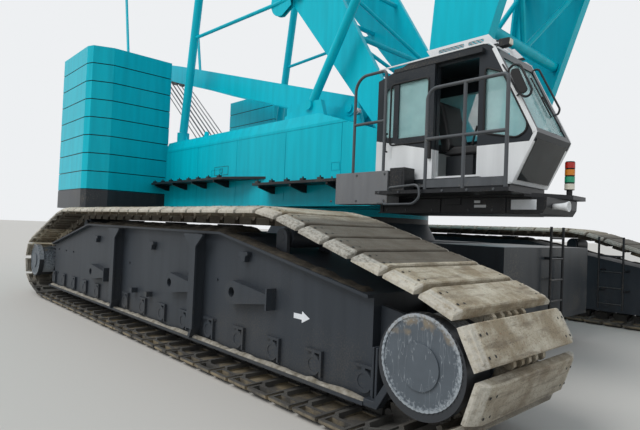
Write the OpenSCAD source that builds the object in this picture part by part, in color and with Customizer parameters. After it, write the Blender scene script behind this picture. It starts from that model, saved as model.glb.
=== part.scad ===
// Crawler crane with a lattice boom, a live mast and a mast lever, parked with the boom raised.
// Millimetres. Sizes are given in the machine's own frame: slew axis at x = 0, ground at z = 0,
// +X to the front, +Y to the left. The row's origin lies under the middle of the whole crane.

/* [Crawler] */
// Distance between the centre lines of the two tracks
track_gauge = 7700; // [7400:50:8100]
// Width of one track shoe
shoe_w = 1500; // [1200:50:1600]
// Distance between the front and the rear tumbler centres
tumbler_base = 10100; // [9800:50:10600]
// Distance from one link pin to the next
link_pitch = 340; // [320:5:360]
// Lobes on a drive tumbler
tumbler_lobes = 8; // [8:1:9]
// Height of the top of the upper run of shoes
track_h = 1850; // [1800:10:1880]
// Length of the flat part of the upper run
top_run = 6400; // [5800:50:7000]
// Height of the shoes over the ground at the tumblers
tumbler_rise = 170; // [140:5:200]
// Thickness of a shoe
shoe_t = 80; // [60:5:90]
// Gap between two shoes on a straight run
shoe_gap = 46; // [30:2:60]
// Width of the link chain under the shoes
chain_w = 520; // [460:10:540]
// Width of the bevel at each end of a shoe
shoe_bevel = 110; // [60:5:140]
// Radius of a drive hub
hub_r = 370; // [320:10:380]

/* [Track frame] */
// Width of a track frame
frame_w = 900; // [860:10:1000]
// Height of the top of a track frame
frame_h = 1560; // [1500:10:1580]
// Height of the lower edge of a track frame's side plates
frame_low = 250; // [220:5:280]
// Height of the ends of a track frame's top
frame_end_h = 1120; // [1060:10:1180]
// Number of lower rollers on a track
roller_count = 15; // [13:1:16]
// Radius of a lower roller
roller_r = 200; // [180:5:220]
// Distance along the ground from the last lower roller to the tumbler's centre
roller_end = 710; // [680:10:900]
// Bore of the pin eyes on a track frame's side
eye_bore = 110; // [80:5:130]

/* [Carbody] */
// Length of the carbody's centre box
carbody_l = 4600; // [4200:50:4900]
// Width of the carbody's centre box
carbody_w = 3000; // [2600:50:3200]
// Height of the top of the carbody's centre box
carbody_h = 1500; // [1440:10:1540]
// Distance between the two cross beams
cross_beam_base = 3000; // [2800:50:3200]
// Width of one cross beam
cross_beam_w = 1100; // [900:50:1200]
// Outer radius of the slewing ring
ring_r = 1550; // [1400:10:1600]
// Height of the top of the slewing ring
ring_top = 2000; // [1960:10:2020]
// Thickness of one carbody weight slab
weight_slab_h = 530; // [480:10:560]
// Length of a carbody weight slab
weight_l = 1400; // [1200:20:1500]
// Width of a carbody weight slab
weight_w = 2840; // [2400:20:3000]

/* [Upper] */
// Width of the deck between the houses
deck_w = 2500; // [2500:10:2520]
// Thickness of the deck
deck_t = 300; // [260:10:340]
// Rear end of the deck, behind the slew axis
deck_rear = 6900; // [6600:20:7100]
// Half of the width over the two houses
house_y = 1700; // [1660:10:1740]
// Inner side of a house, from the middle
house_inner_y = 450; // [420:10:480]
// Front end of the houses
house_front = 2100; // [2000:10:2140]
// Front end of the roofs between the mast legs
roof_front = 1000; // [900:10:1060]
// Height of the eaves
eave_z = 3440; // [3380:10:3480]
// Height of the roofs
ridge_z = 3640; // [3600:5:3660]
// Height of the roofs' inner parts, beside the lever
valley_z = 3470; // [3440:5:3500]

/* [Counterweight] */
// Front face of the counterweights, behind the slew axis
cw_front = 4910; // [4910:10:5000]
// Length of a counterweight slab
cw_l = 2420; // [2200:20:2600]
// Inner side of a stack, from the middle
cw_inner_y = 1660; // [1560:10:1700]
// Outer side of a stack, from the middle
cw_outer_y = 3600; // [3400:20:3700]
// Thickness of one slab
slab_h = 420; // [380:5:440]
// Number of slabs in a stack
slab_count = 8; // [5:1:9]
// Height of the underside of the trays
tray_z = 1900; // [1890:5:1930]
// Thickness of a tray
tray_t = 430; // [380:10:460]

/* [Boom] */
// Boom angle over the horizontal
boom_angle = 78; // [76:0.5:80]
// Boom foot pin in front of the slew axis
boom_foot_x = 2800; // [2780:10:2840]
// Height of the boom foot pin
boom_foot_z = 2750; // [2720:10:2800]
// Width over the boom's side plates
boom_w = 2500; // [2440:10:2500]
// Radius of the boom foot
boom_foot_r = 265; // [240:5:280]
// Bore of the boom foot
boom_foot_bore = 200; // [160:5:220]
// Length of the plated base section
boom_base_l = 7700; // [7000:50:8200]
// Angle by which each edge of the base section opens
boom_flare = 6.9; // [6.4:0.1:7.2]
// Length of the lattice section
boom_insert_l = 12800; // [9000:50:12800]
// Length of the head section up to the sheave axis
boom_head_l = 3100; // [2900:50:3400]
// Offset of the head sheaves in front of the boom's centre line
head_offset = 1250; // [1200:10:1300]
// Radius of a head sheave
head_sheave_r = 330; // [280:5:350]
// Height of fall from the head sheaves to the hook block's sheaves
hook_drop = 5200; // [4000:50:6000]
// Diameter of the hoist rope
rope_d = 32; // [24:1:40]

/* [Mast] */
// Mast angle over the horizontal, measured from the front
mast_angle = 125.8; // [125:0.1:127]
// Mast foot pin in front of the slew axis
mast_foot_x = 2150; // [2140:5:2180]
// Height of the mast foot pin
mast_foot_z = 3050; // [3030:10:3090]
// Length of the mast from the foot pin to the head shaft
mast_l = 24000; // [22000:50:24500]
// Length of the plated lower part
mast_plate_l = 10000; // [9900:50:10400]
// Radius of the mast foot
mast_foot_r = 200; // [180:5:220]
// Angle by which each edge of the plated part opens
mast_flare = 4.35; // [4:0.05:4.6]
// Width over the mast's legs
mast_w = 2400; // [2400:10:2440]

/* [Lever] */
// Lever angle over the horizontal, measured from the front
lever_angle = 163.9; // [163.5:0.1:165]
// Lever pivot in front of the slew axis
lever_x = 900; // [860:10:920]
// Height of the lever pivot
lever_z = 3800; // [3790:10:3860]
// Length of the lever
lever_l = 10000; // [9400:50:10400]
// Depth of a lever beam
lever_depth = 450; // [400:10:460]

/* [Cab] */
// Rear end of the cab
cab_rear = 2560; // [2545:5:2575]
// Length of the cab's roof
cab_roof_l = 1730; // [1700:10:1750]
// Length of the cab at the knee of its front
cab_knee_l = 2230; // [2200:10:2250]
// Length of the cab's floor
cab_floor_l = 1970; // [1940:10:2000]
// Inner side of the cab, from the middle
cab_inner_y = 1335; // [1335:1:1345]
// Outer side of the cab, from the middle
cab_outer_y = 2230; // [2200:5:2250]
// Height of the cab's underside
cab_z = 2220; // [2200:5:2240]
// Height of the cab
cab_h = 1650; // [1600:10:1680]
// Thickness of the cab's walls
cab_wall = 60; // [40:5:70]
// Thickness of the glass
glass_t = 8; // [6:1:12]
// Width of the door opening
doorway_l = 560; // [540:10:600]
// Height of the handrails over the platform
rail_h = 1140; // [1000:10:1200]

/* [Hidden] */
$fn = 48;

seat = 0.3;
fit = 0.05;
sides = [-1, 1];
teal = "#12a5ae";
frame_grey = "#3a3f44";
shoe_grey = "#a59a88";
black = "#26282a";
cab_white = "#e0e0de";
cab_dark = "#403a3b";
rope_grey = "#55585a";
glass_tint = "#9fc4bd";
lamp_red = "#b02a1e";

function polar(r, a) = [r * cos(a), r * sin(a)];
function sum_to(v, n) = n <= 0 ? 0 : v[n - 1] + sum_to(v, n - 1);
function mix(a, b, t) = a + (b - a) * t;

// Solid between y0 and y1 with its outline in the xz plane
module side_plate(y0, y1) {
    translate([0, max(y0, y1), 0])
        rotate([90, 0, 0])
            linear_extrude(abs(y1 - y0)) children();
}

// Box from its lowest corner to its highest
module span(low, high) {
    translate(low) cube(high - low);
}

// Solid between x0 and x1 with its outline in the yz plane
module along_x(x0, x1) {
    translate([x0, 0, 0]) rotate([90, 0, 90]) linear_extrude(x1 - x0) children();
}

module tube(a, b, d, n = 8) {
    v = b - a;
    translate(a)
        rotate([0, acos(v.z / norm(v)), atan2(v.y, v.x)])
            cylinder(h = norm(v), d = d, $fn = n);
}

// Cylinder along y
module shaft(x, z, y0, y1, r) {
    translate([x, min(y0, y1), z])
        rotate([-90, 0, 0]) cylinder(h = abs(y1 - y0), r = r);
}

// The row's origin is under the middle of the crane's length
boom_tilt = 90 - boom_angle;
mast_tilt = 90 - mast_angle;
lever_tilt = 90 - lever_angle;
boom_l = boom_base_l + boom_insert_l + boom_head_l;
head_axis_x = boom_foot_x + boom_l * cos(boom_angle) + head_offset * sin(boom_angle);
head_axis_z = boom_foot_z + boom_l * sin(boom_angle) - head_offset * cos(boom_angle);
mast_tip = [mast_foot_x, mast_foot_z] + polar(mast_l, mast_angle);
lever_tip = [lever_x, lever_z] + polar(lever_l, lever_angle);
mast_head_r = 260;
front_reach = head_axis_x + head_sheave_r;
rear_reach = mast_tip.x - mast_head_r;
row_x = -(front_reach + rear_reach) / 2;

module in_row() {
    translate([row_x, 0, 0]) children();
}

// Track loop: the line of the link pins, as pieces of [length, x, z, heading, radius]
shoe_out = shoe_t + 30;
chain_out = 35;
chain_in = 90;
pin_r = tumbler_lobes * link_pitch / 360 * 180 / PI;
tumbler_x = tumbler_base / 2;
tumbler_z = tumbler_rise + shoe_out + pin_r;
low_z = shoe_out;
high_z = track_h - shoe_out;
roller_span = tumbler_base - 2 * roller_end;
bend_gap = 60;
low_end = [roller_span / 2 + bend_gap, low_z];
high_end = [top_run / 2, high_z];
hub = [tumbler_x, tumbler_z];
function bearing(p) = atan2(p.y, p.x);
low_touch = bearing(low_end - hub) + acos(pin_r / norm(low_end - hub));
high_touch = bearing(high_end - hub) - acos(pin_r / norm(high_end - hub));
low_tangent = hub + polar(pin_r, low_touch);
high_tangent = hub + polar(pin_r, high_touch);
rise_heading = bearing(low_tangent - low_end);
fall_heading = bearing(high_end - high_tangent);
turn = fall_heading - rise_heading;
arc_l = pin_r * turn * PI / 180;
rise_l = norm(low_tangent - low_end);
fall_l = norm(high_end - high_tangent);
path = [
    [low_end.x, 0, low_z, 0, 0],
    [rise_l, low_end.x, low_z, rise_heading, 0],
    [arc_l, low_tangent.x, low_tangent.y, rise_heading, pin_r],
    [fall_l, high_tangent.x, high_tangent.y, fall_heading, 0],
    [2 * high_end.x, high_end.x, high_z, 180, 0],
    [fall_l, -high_end.x, high_z, 360 - fall_heading, 0],
    [arc_l, -high_tangent.x, high_tangent.y, 360 - fall_heading, pin_r],
    [rise_l, -low_tangent.x, low_tangent.y, 360 - rise_heading, 0],
    [low_end.x, -low_end.x, low_z, 360, 0]
];
path_lengths = [for (p = path) p[0]];
path_l = sum_to(path_lengths, len(path));
link_count = 2 * round(path_l / link_pitch / 2);
link_step = path_l / link_count;

// Place on the path at distance s: [x, z, heading]
function on_piece(p, t) = p[4] == 0
    ? [p[1] + t * cos(p[3]), p[2] + t * sin(p[3]), p[3]]
    : let (h = p[3] + t / p[4] * 180 / PI)
        [p[1] + p[4] * (sin(h) - sin(p[3])), p[2] - p[4] * (cos(h) - cos(p[3])), h];
function on_path(s, i = 0) = s <= path[i][0] || i == len(path) - 1
    ? on_piece(path[i], s)
    : on_path(s - path[i][0], i + 1);
// Point at distance t along and n outwards of a place on the path
function off_path(q, t, n) = [
    q[0] + t * cos(q[2]) + n * sin(q[2]),
    q[1] + t * sin(q[2]) - n * cos(q[2])
];

// Middle of the link between two pins, along the chord that joins them
function on_link(i) = let (
    a = on_path(i * link_step),
    b = on_path((i + 1) * link_step),
    d = [b[0] - a[0], b[1] - a[1]]
) [(a[0] + b[0]) / 2, (a[1] + b[1]) / 2, atan2(d.y, d.x)];

// Corner of the loop where two straight pieces meet, moved out by n
function bend(i, n) = let (t = (path[i][3] - (i == 0 ? 0 : path[i - 1][3])) / 2)
    off_path([path[i][1], path[i][2], path[i][3] - t], 0, n / cos(t));
// Pins round a tumbler, with one more at each end, moved out by n
function arc_pins(k, n) = let (a = sum_to(path_lengths, k), b = sum_to(path_lengths, k + 1))
    [for (i = [0 : link_count - 1]) let (s = i * link_step)
        if (s > a - link_step && s < b + link_step) off_path(on_path(s), 0, n)];
// Line of the chain at distance n outside the pins
function chain_line(n) = concat(
    [bend(1, n)], arc_pins(2, n), [bend(4, n), bend(5, n)], arc_pins(6, n), [bend(8, n)]
);

// One shoe across the chain, its outer edges bevelled at both ends
bevel_h = 45;

module shoe(i, y) {
    q = on_link(i);
    half = (link_step - shoe_gap) / 2;
    translate([q[0], y, q[1]]) rotate([0, -q[2], 0]) along_x(-half, half)
        polygon([
            [-shoe_w / 2, shoe_t - shoe_out], [shoe_w / 2, shoe_t - shoe_out],
            [shoe_w / 2, bevel_h - shoe_out], [shoe_w / 2 - shoe_bevel, -shoe_out],
            [shoe_bevel - shoe_w / 2, -shoe_out], [-shoe_w / 2, bevel_h - shoe_out]
        ]);
}

module track(side) {
    y = side * track_gauge / 2;
    color(shoe_grey) in_row() {
        for (i = [0 : link_count - 1]) shoe(i, y);
        side_plate(y - chain_w / 2, y + chain_w / 2) difference() {
            polygon(chain_line(chain_out));
            polygon(chain_line(-chain_in));
        }
    }
}

module track_right() { track(-1); }
module track_left() { track(1); }

// Track frames
frame_x = tumbler_x - 650;
box_low = low_z + chain_in + 2 * roller_r + 20;
roller_z = low_z + chain_in + roller_r + seat;
frame_top = [2100, 2300];
skirt_t = 50;
fork_gap = chain_w / 2 + 40;
fork_t = 50;
axle_r = 120;
fork_r = 260;
rib_x = [-900, 1630];
rib_d = 130;
flange_t = 28;
step_x = [-330, 180];
shim_count = 5;
shim_h = 45;
shim_step = 75;
shim_l = tumbler_x - hub_r - 30 - frame_x;
eyes = [[-1980, 740], [960, 860], [2430, 910]];
eye_r = 130;
eye_d = 100;
carrier_r = 110;
carrier_x = 3000;
post_r = 90;
slide_x = [-1500, 0, 1500];
roller_pitch = roller_span / (roller_count - 1);

module frame_outline(low) {
    polygon([
        [-frame_x, low], [frame_x, low], [frame_x, frame_end_h],
        [frame_top[0], frame_h], [-frame_top[1], frame_h], [-frame_x, frame_end_h]
    ]);
}

module fork_outline() {
    difference() {
        union() {
            polygon([
                [frame_x - 200, box_low], [tumbler_x, tumbler_z - 200],
                [tumbler_x, tumbler_z + 200], [frame_x - 200, frame_end_h - 60]
            ]);
            translate([tumbler_x, tumbler_z]) circle(r = fork_r);
        }
        translate([tumbler_x, tumbler_z]) circle(r = axle_r + fit);
    }
}

module rib_web(x) {
    low = frame_low + 8;
    translate([x - 25, low + 120]) square([50, frame_h - low - 160]);
    polygon([[x - 25, low + 121], [x - 85, low], [x - 35, low], [x + 25, low + 121]]);
}

// Flange of a rib, spread at its top
module rib_flange(x) {
    low = frame_low + 130;
    top = frame_h - 40;
    polygon([
        [x - 70, low], [x + 70, low], [x + 70, top - 150], [x + 220, top - 20], [x + 220, top],
        [x - 220, top], [x - 220, top - 20], [x - 70, top - 150]
    ]);
}

// Pad round a roller's axle, under a small ledge
module roller_pad(x) {
    difference() {
        union() {
            translate([x, roller_z]) circle(r = 95);
            translate([x - 110, roller_z + 110]) square([220, 26]);
            translate([x + 84, roller_z - 100]) square([26, 212]);
            translate([x + 30, roller_z - 20]) square([60, 40]);
            translate([x - 20, roller_z + 60]) square([40, 55]);
        }
        translate([x, roller_z]) circle(r = 60 + fit);
    }
}

module pin_eye(x, z, y, side) {
    side_plate(y - side * 2, y + side * eye_d) {
        difference() {
            union() {
                translate([x, z]) circle(r = eye_r);
                polygon([[x, z - eye_r], [x + 650, z - 45], [x + 650, z + 45], [x, z + eye_r]]);
            }
            translate([x, z]) circle(d = eye_bore);
        }
    }
}

module track_frame(side) {
    y = side * track_gauge / 2;
    outer = y + side * frame_w / 2;
    inner = y - side * frame_w / 2;
    color(frame_grey) in_row() {
        side_plate(inner, outer) frame_outline(box_low);
        for (s = sides)
            side_plate(y + s * (frame_w / 2 - skirt_t), y + s * frame_w / 2)
                difference() {
                    polygon([
                        [-frame_x, frame_low], [frame_x, frame_low],
                        [frame_x, box_low + 2], [-frame_x, box_low + 2]
                    ]);
                    for (i = [0 : roller_count - 1])
                        translate([-roller_span / 2 + i * roller_pitch, roller_z])
                            circle(r = 60 + fit);
                }
        for (s = sides, e = [0, 180])
            translate([0, y, 0]) rotate([0, 0, e])
                side_plate(s * fork_gap, s * (fork_gap + fork_t)) fork_outline();
        side_plate(outer - side * 2, outer + side * 100)
            polygon([
                [-frame_x, frame_low - 20], [frame_x, frame_low - 20],
                [frame_x, frame_low + 10], [-frame_x, frame_low + 10]
            ]);
        side_plate(outer - side * 2, outer + side * 80) difference() {
            frame_outline(box_low);
            translate([0, -flange_t]) frame_outline(box_low - flange_t);
        }
        for (x = rib_x) {
            side_plate(outer - side * 2, outer + side * rib_d) rib_web(x);
            side_plate(outer + side * (rib_d - 2), outer + side * (rib_d + 25)) rib_flange(x);
        }
        side_plate(outer - side * 2, outer + side * 35)
            for (i = [0 : roller_count - 1]) roller_pad(-roller_span / 2 + i * roller_pitch);
        for (x = step_x)
            side_plate(outer - side * 2, outer + side * 90)
                translate([x, frame_low + 330]) square([90, 70]);
        for (i = [0 : shim_count - 1])
            side_plate(outer - side * 140, outer - side * 10)
                translate([-frame_x - shim_l, frame_end_h - 2 - shim_h - i * shim_step]) square([shim_l + 2, shim_h]);
        for (e = eyes) {
            pin_eye(e[0], e[1], outer, side);
            side_plate(outer - side * 2, outer + side * (rib_d - 10))
                translate([e[0] + 640, e[1] - 110]) square([24, 220]);
        }
        for (x = [-carrier_x, carrier_x], s = sides)
            carrier_post(x, y + s * (chain_w / 2 + 30), s);
        for (x = slide_x)
            span([x - 150, y - 100, frame_h - 2], [x + 150, y + 100, high_z - chain_in - seat]);
    }
}

function carrier_z(x) = high_z - chain_in - carrier_r - seat;
function frame_top_at(x) = x > frame_top[0]
    ? mix(frame_h, frame_end_h, (x - frame_top[0]) / (frame_x - frame_top[0]))
    : x < -frame_top[1]
    ? mix(frame_h, frame_end_h, (-x - frame_top[1]) / (frame_x - frame_top[1]))
    : frame_h;

module carrier_post(x, y, s) {
    side_plate(y, y + s * 40)
        difference() {
            union() {
                translate([x - post_r, frame_top_at(x) - post_r])
                    square([2 * post_r, carrier_z(x) - frame_top_at(x) + post_r]);
                translate([x, carrier_z(x)]) circle(r = post_r);
            }
            translate([x, carrier_z(x)]) circle(r = 45 + fit);
        }
}

module track_frame_right() { track_frame(-1); }
module track_frame_left() { track_frame(1); }

// Wheels of the tracks
tumbler_core_r = pin_r - chain_in - 9;
function first_pin(i = 0) = i * link_step > path[0][0] + rise_l ? i : first_pin(i + 1);
pin_bearing = let (q = on_path(first_pin() * link_step)) bearing([q[0], q[1]] - hub);

// Axle with its hub housings; out is how far the outer one reaches from the track's centre line
hub_wall = 10;
hub_in_r = 300;
hub_in = 520;

module hub_parts(x, y, side, out, r) {
    fork_out = fork_gap + fork_t + hub_wall;
    shaft(x, tumbler_z, y - fork_out - 50, y + fork_out + 50, axle_r);
    shaft(x, tumbler_z, y + side * fork_out, y + side * (out - 60), r - 25);
    shaft(x, tumbler_z, y + side * (out - 90), y + side * out, r);
    shaft(x, tumbler_z, y + side * (out - 2), y + side * (out + 14), r * 0.45);
    shaft(x, tumbler_z, y - side * fork_out, y - side * hub_in, hub_in_r);
}

module drive_tumblers() {
    color(frame_grey) in_row() for (side = sides) {
        y = side * track_gauge / 2;
        hub_parts(tumbler_x, y, side, 700, hub_r);
        translate([tumbler_x, y + chain_w / 2 - 10, tumbler_z])
            rotate([90, -pin_bearing, 0])
                cylinder(h = chain_w - 20, r = tumbler_core_r, $fn = tumbler_lobes);
    }
}

module idlers() {
    color(frame_grey) in_row() for (side = sides) {
        y = side * track_gauge / 2;
        hub_parts(-tumbler_x, y, side, 670, hub_r - 30);
        shaft(-tumbler_x, tumbler_z, y - chain_w / 2 + 10, y + chain_w / 2 - 10,
              tumbler_core_r * cos(180 / tumbler_lobes));
    }
}

module track_rollers() {
    color(frame_grey) in_row() for (side = sides) {
        y = side * track_gauge / 2;
        for (i = [0 : roller_count - 1]) {
            x = -roller_span / 2 + i * roller_pitch;
            shaft(x, roller_z, y - chain_w / 2, y + chain_w / 2, roller_r);
            shaft(x, roller_z, y - frame_w / 2 - 30, y + frame_w / 2 + 30, 60);
        }
        for (x = [-carrier_x, carrier_x]) {
            shaft(x, carrier_z(x), y - chain_w / 2, y + chain_w / 2, carrier_r);
            shaft(x, carrier_z(x), y - chain_w / 2 - 72, y + chain_w / 2 + 72, 45);
        }
    }
}

// Carbody
ring_h = 210;
ring_lower_h = 95;
frame_inner_y = (track_gauge - frame_w) / 2;
tongue_h = 110;
tongue_z = carbody_h - 2 * weight_slab_h - tongue_h;
weight_x = carbody_l / 2 + 350;

module carbody() {
    color(frame_grey) in_row() {
        span([-carbody_l / 2, -carbody_w / 2, 560], [carbody_l / 2, carbody_w / 2, carbody_h]);
        for (s = sides)
            span([s * cross_beam_base / 2 - cross_beam_w / 2, -frame_inner_y + seat, 660],
                 [s * cross_beam_base / 2 + cross_beam_w / 2, frame_inner_y - seat, carbody_h - 40]);
        for (s = sides) {
            span([min(s * (carbody_l / 2 - 100), s * (weight_x + weight_l)), -350, tongue_z],
                 [max(s * (carbody_l / 2 - 100), s * (weight_x + weight_l)), 350, tongue_z + tongue_h - seat]);
            span([min(s * (carbody_l / 2 - 100), s * (weight_x - 30)), -350, tongue_z],
                 [max(s * (carbody_l / 2 - 100), s * (weight_x - 30)), 350, carbody_h - 60]);
        }
        translate([0, 0, carbody_h - 2])
            cylinder(h = ring_top - ring_h - carbody_h + 2, r1 = ring_r + 150, r2 = ring_r);
    }
}

module slew_ring() {
    color(black) in_row() translate([0, 0, ring_top - ring_h + seat]) difference() {
        cylinder(h = ring_lower_h - 2 * seat, r = ring_r);
        translate([0, 0, -1]) cylinder(h = ring_lower_h + 2, r = ring_r - 200);
    }
}

module carbody_weights() {
    color(frame_grey) in_row() for (s = sides, i = [0, 1]) {
        z = tongue_z + tongue_h + i * weight_slab_h;
        span([min(s * weight_x, s * (weight_x + weight_l)), -weight_w / 2, z],
             [max(s * weight_x, s * (weight_x + weight_l)), weight_w / 2, z + weight_slab_h - seat]);
    }
}

ladder_w = 420;
ladder_d = 40;
ladder_step = 300;
ladder_low = 340;

// Ladder standing off a face: x of its rails, height of its top, x of the face, heights of its stand-offs
module rung_ladder(x, high, face, holds) {
    for (s = sides) {
        tube([x, s * ladder_w / 2, ladder_low], [x, s * ladder_w / 2, high], ladder_d);
        for (z = holds) tube([face, s * ladder_w / 2, z], [x, s * ladder_w / 2, z], ladder_d);
    }
    for (z = [ladder_low + ladder_step / 3 : ladder_step : high - ladder_step / 2])
        tube([x, -ladder_w / 2, z], [x, ladder_w / 2, z], ladder_d * 0.8);
}

module undercarriage_ladders() {
    face = weight_x + weight_l + seat;
    weights_top = tongue_z + tongue_h + 2 * weight_slab_h;
    inner_shoes = (track_gauge - shoe_w) / 2;
    color(black) in_row() {
        rung_ladder(face + 2 * ladder_d, weights_top + ladder_step, face, [tongue_z + 200, weights_top - 150]);
        translate([frame_x - 500, 0, 0]) rotate([0, 0, -90])
            rung_ladder(-inner_shoes + 1.5 * ladder_d, track_h - 150, -frame_inner_y + seat,
                        [box_low + 60, frame_end_h - 60]);
    }
}

// Rotating deck
nose_in = 970;
nose_out = 1055;
boom_lug_t = 60;
mast_leg_t = 100;
mast_leg_in = mast_w / 2 - mast_leg_t;
gap = 8;

module nose_outline() {
    boom_r = 300;
    mast_r = 240;
    polygon([
        [-deck_rear, ring_top], [boom_foot_x - boom_r, ring_top],
        [boom_foot_x + boom_r, ring_top + deck_t + 100], [boom_foot_x + boom_r, boom_foot_z],
        [boom_foot_x, boom_foot_z + boom_r], [mast_foot_x + 100, mast_foot_z + mast_r],
        [mast_foot_x - mast_r, mast_foot_z], [mast_foot_x - 500, ring_top + deck_t],
        [-deck_rear, ring_top + deck_t]
    ]);
    translate([boom_foot_x, boom_foot_z]) circle(r = boom_r);
    translate([mast_foot_x, mast_foot_z]) circle(r = mast_r);
}

module ear_outline(x, z, r) {
    translate([x, z]) circle(r = r);
    polygon([[x - r, z], [x + r, z], [x + r + 100, ring_top + deck_t - 60],
             [x - r - 100, ring_top + deck_t - 60]]);
}

deck_front = boom_foot_x - 200;
deck_front_y = cab_inner_y - 10;

module main_frame() {
    color(teal) in_row() {
        span([-deck_rear, -deck_w / 2, ring_top], [deck_front, deck_w / 2, ring_top + deck_t]);
        span([roof_front + 200, -deck_front_y, ring_top], [deck_front, deck_front_y, ring_top + deck_t]);
        translate([0, 0, ring_top - ring_h + ring_lower_h])
            cylinder(h = ring_h - ring_lower_h + 2, r = ring_r);
        for (s = sides) {
            side_plate(s * nose_in, s * nose_out) nose_outline();
            side_plate(s * (boom_w / 2 + gap), s * (boom_w / 2 + gap + boom_lug_t))
                ear_outline(boom_foot_x, boom_foot_z, 250);
            side_plate(s * (mast_w / 2 + gap), s * (mast_w / 2 + gap + boom_lug_t))
                ear_outline(mast_foot_x, mast_foot_z, 200);
            shaft(boom_foot_x, boom_foot_z, s * (nose_out - 100), s * (boom_w / 2 + gap + boom_lug_t),
                  boom_foot_bore / 2 - fit);
            shaft(mast_foot_x, mast_foot_z, s * (nose_out - 80), s * (mast_w / 2 + gap + boom_lug_t),
                  70 - fit);
        }
    }
}

// Houses
roof_in_y = 1080;
roof_edge = 60;
roof_fall_x = 700;
front_eave_z = 3180;
seam_w = 12;
seam_d = 8;
panel_seams = [-3300, -1700, -100, 1350];
// Recessed handles on the panels: [x, z, width, height]
handle_table = [[-2460, 2710, 420, 220], [1230, 2670, 200, 140]];
louvre_count = 12;
louvre_x = [-3000, -1400];
louvre_l = 1100;
louvre_low = 2480;
louvre_step = 60;

module house_section() {
    polygon([
        [house_inner_y, ring_top + deck_t + seat], [deck_w / 2 + seat, ring_top + deck_t + seat],
        [deck_w / 2 + seat, ring_top + 20], [house_y, ring_top + 20], [house_y, eave_z],
        [house_y - roof_edge, ridge_z], [roof_in_y, ridge_z], [roof_in_y, valley_z], [house_inner_y, valley_z]
    ]);
}

module front_section() {
    polygon([
        [cab_inner_y, ring_top + 20], [house_y, ring_top + 20], [house_y, eave_z],
        [house_y - roof_edge, ridge_z], [cab_inner_y, ridge_z]
    ]);
}

// Grooves between the side panels and round their handles
module panel_grooves() {
    for (x = panel_seams)
        span([x - seam_w / 2, house_y - seam_d, ring_top + 120], [x + seam_w / 2, house_y + seam_d, eave_z - 60]);
    span([-cw_front, house_y - seam_d, eave_z - 60], [house_front + 20, house_y + seam_d, eave_z - 60 + seam_w]);
    for (h = handle_table)
        side_plate(house_y - seam_d, house_y + seam_d) difference() {
            translate([h[0] - h[2] / 2, h[1] - h[3] / 2]) square([h[2], h[3]]);
            translate([h[0] - h[2] / 2 + seam_w, h[1] - h[3] / 2 + seam_w])
                square([h[2] - 2 * seam_w, h[3] - 2 * seam_w]);
        }
}

// Cooling louvres of the engine, in the left side
module louvres() {
    for (x = louvre_x, i = [0 : louvre_count - 1]) {
        z = louvre_low + i * louvre_step;
        span([x, house_y - louvre_step / 2, z], [x + louvre_l, house_y + seam_d, z + louvre_step / 2]);
    }
}

module house(side) {
    color(teal) in_row() scale_side(side) difference() {
        union() {
            along_x(-cw_front + 12, roof_front) house_section();
            along_x(roof_front - 2, house_front) front_section();
        }
        side_plate(0, house_y + 100)
            polygon([[roof_fall_x, ridge_z], [house_front + 10, front_eave_z],
                     [house_front + 10, ridge_z + 50], [roof_fall_x, ridge_z + 50]]);
        panel_grooves();
        if (side > 0) louvres();
    }
}

module scale_side(side) {
    if (side > 0) children();
    else mirror([0, 1, 0]) children();
}

module house_right() { house(-1); }
module house_left() { house(1); }

// Walkways: [x start, x end, z, length of the slanted front end]
walkway_table = [[-4880, -670, 2550, 900], [-600, 1950, 2380, 350]];
walkway_w = 400;
walkway_t = 45;

module walkways() {
    color(black) in_row() for (side = sides, w = walkway_table) scale_side(side) {
        translate([0, 0, w[2]]) linear_extrude(walkway_t)
            polygon([
                [w[0], house_y + seat], [w[1], house_y + seat], [w[1] - w[3], house_y + walkway_w],
                [w[0] + 60, house_y + walkway_w], [w[0], house_y + walkway_w - 60]
            ]);
        for (x = [w[0] + 200 : 900 : w[1] - w[3]]) side_bracket(x, w[2]);
    }
}

module side_bracket(x, z) {
    along_x(x, x + 40)
        polygon([
            [house_y + seat, z + 2], [house_y + seat, z - 130], [house_y + 60, z - 130],
            [house_y + walkway_w - 30, z - 40], [house_y + walkway_w - 30, z + 2]
        ]);
}

// Winches: [x, z, drum radius, flange radius, half width]
winch_table = [[-2400, 2760, 300, 430, 400], [-600, 2760, 300, 430, 400], [-6000, 2850, 340, 520, 800]];
cheek_t = 30;

// Drum with its wound rope, turn beside turn
module rope_drum(r, half) {
    turns = floor(2 * half / rope_d);
    rotate_extrude() polygon(concat(
        [[0, -half], [r - rope_d / 2, -half]],
        [for (i = [0 : turns - 1]) each [[r, -half + (i + 0.5) * rope_d], [r - rope_d / 2, -half + (i + 1) * rope_d]]],
        [[r - rope_d / 2, half], [0, half]]
    ));
}

module winches() {
    color(frame_grey) in_row() for (w = winch_table) {
        translate([w[0], 0, w[1]]) rotate([90, 0, 0]) rope_drum(w[2], w[4] - 2 * cheek_t + 2);
        for (s = sides) {
            shaft(w[0], w[1], s * (w[4] - 2 * cheek_t), s * (w[4] - cheek_t), w[3]);
            shaft(w[0], w[1], s * (w[4] - cheek_t - 2), s * (w[4] + 20), w[2] * 0.6);
            side_plate(s * (w[4] - 12), s * (w[4] + 40)) {
                translate([w[0], w[1]]) circle(r = w[2] * 0.7);
                polygon([
                    [w[0] - w[2] * 0.7, w[1]], [w[0] - w[2] - 60, ring_top + deck_t + seat],
                    [w[0] + w[2] + 60, ring_top + deck_t + seat], [w[0] + w[2] * 0.7, w[1]]
                ]);
            }
        }
    }
}

// Counterweight
// Corners of a slab: [back from the front or the rear face, in from the outer side]
front_corner = [[0, 490], [180, 70], [360, 0]];
rear_corner = [[330, 0], [0, 300]];
joint_h = 16;
joint_in = 14;
lug_x = [0.3, 0.62];
tie_x = [300, 1900];

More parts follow.
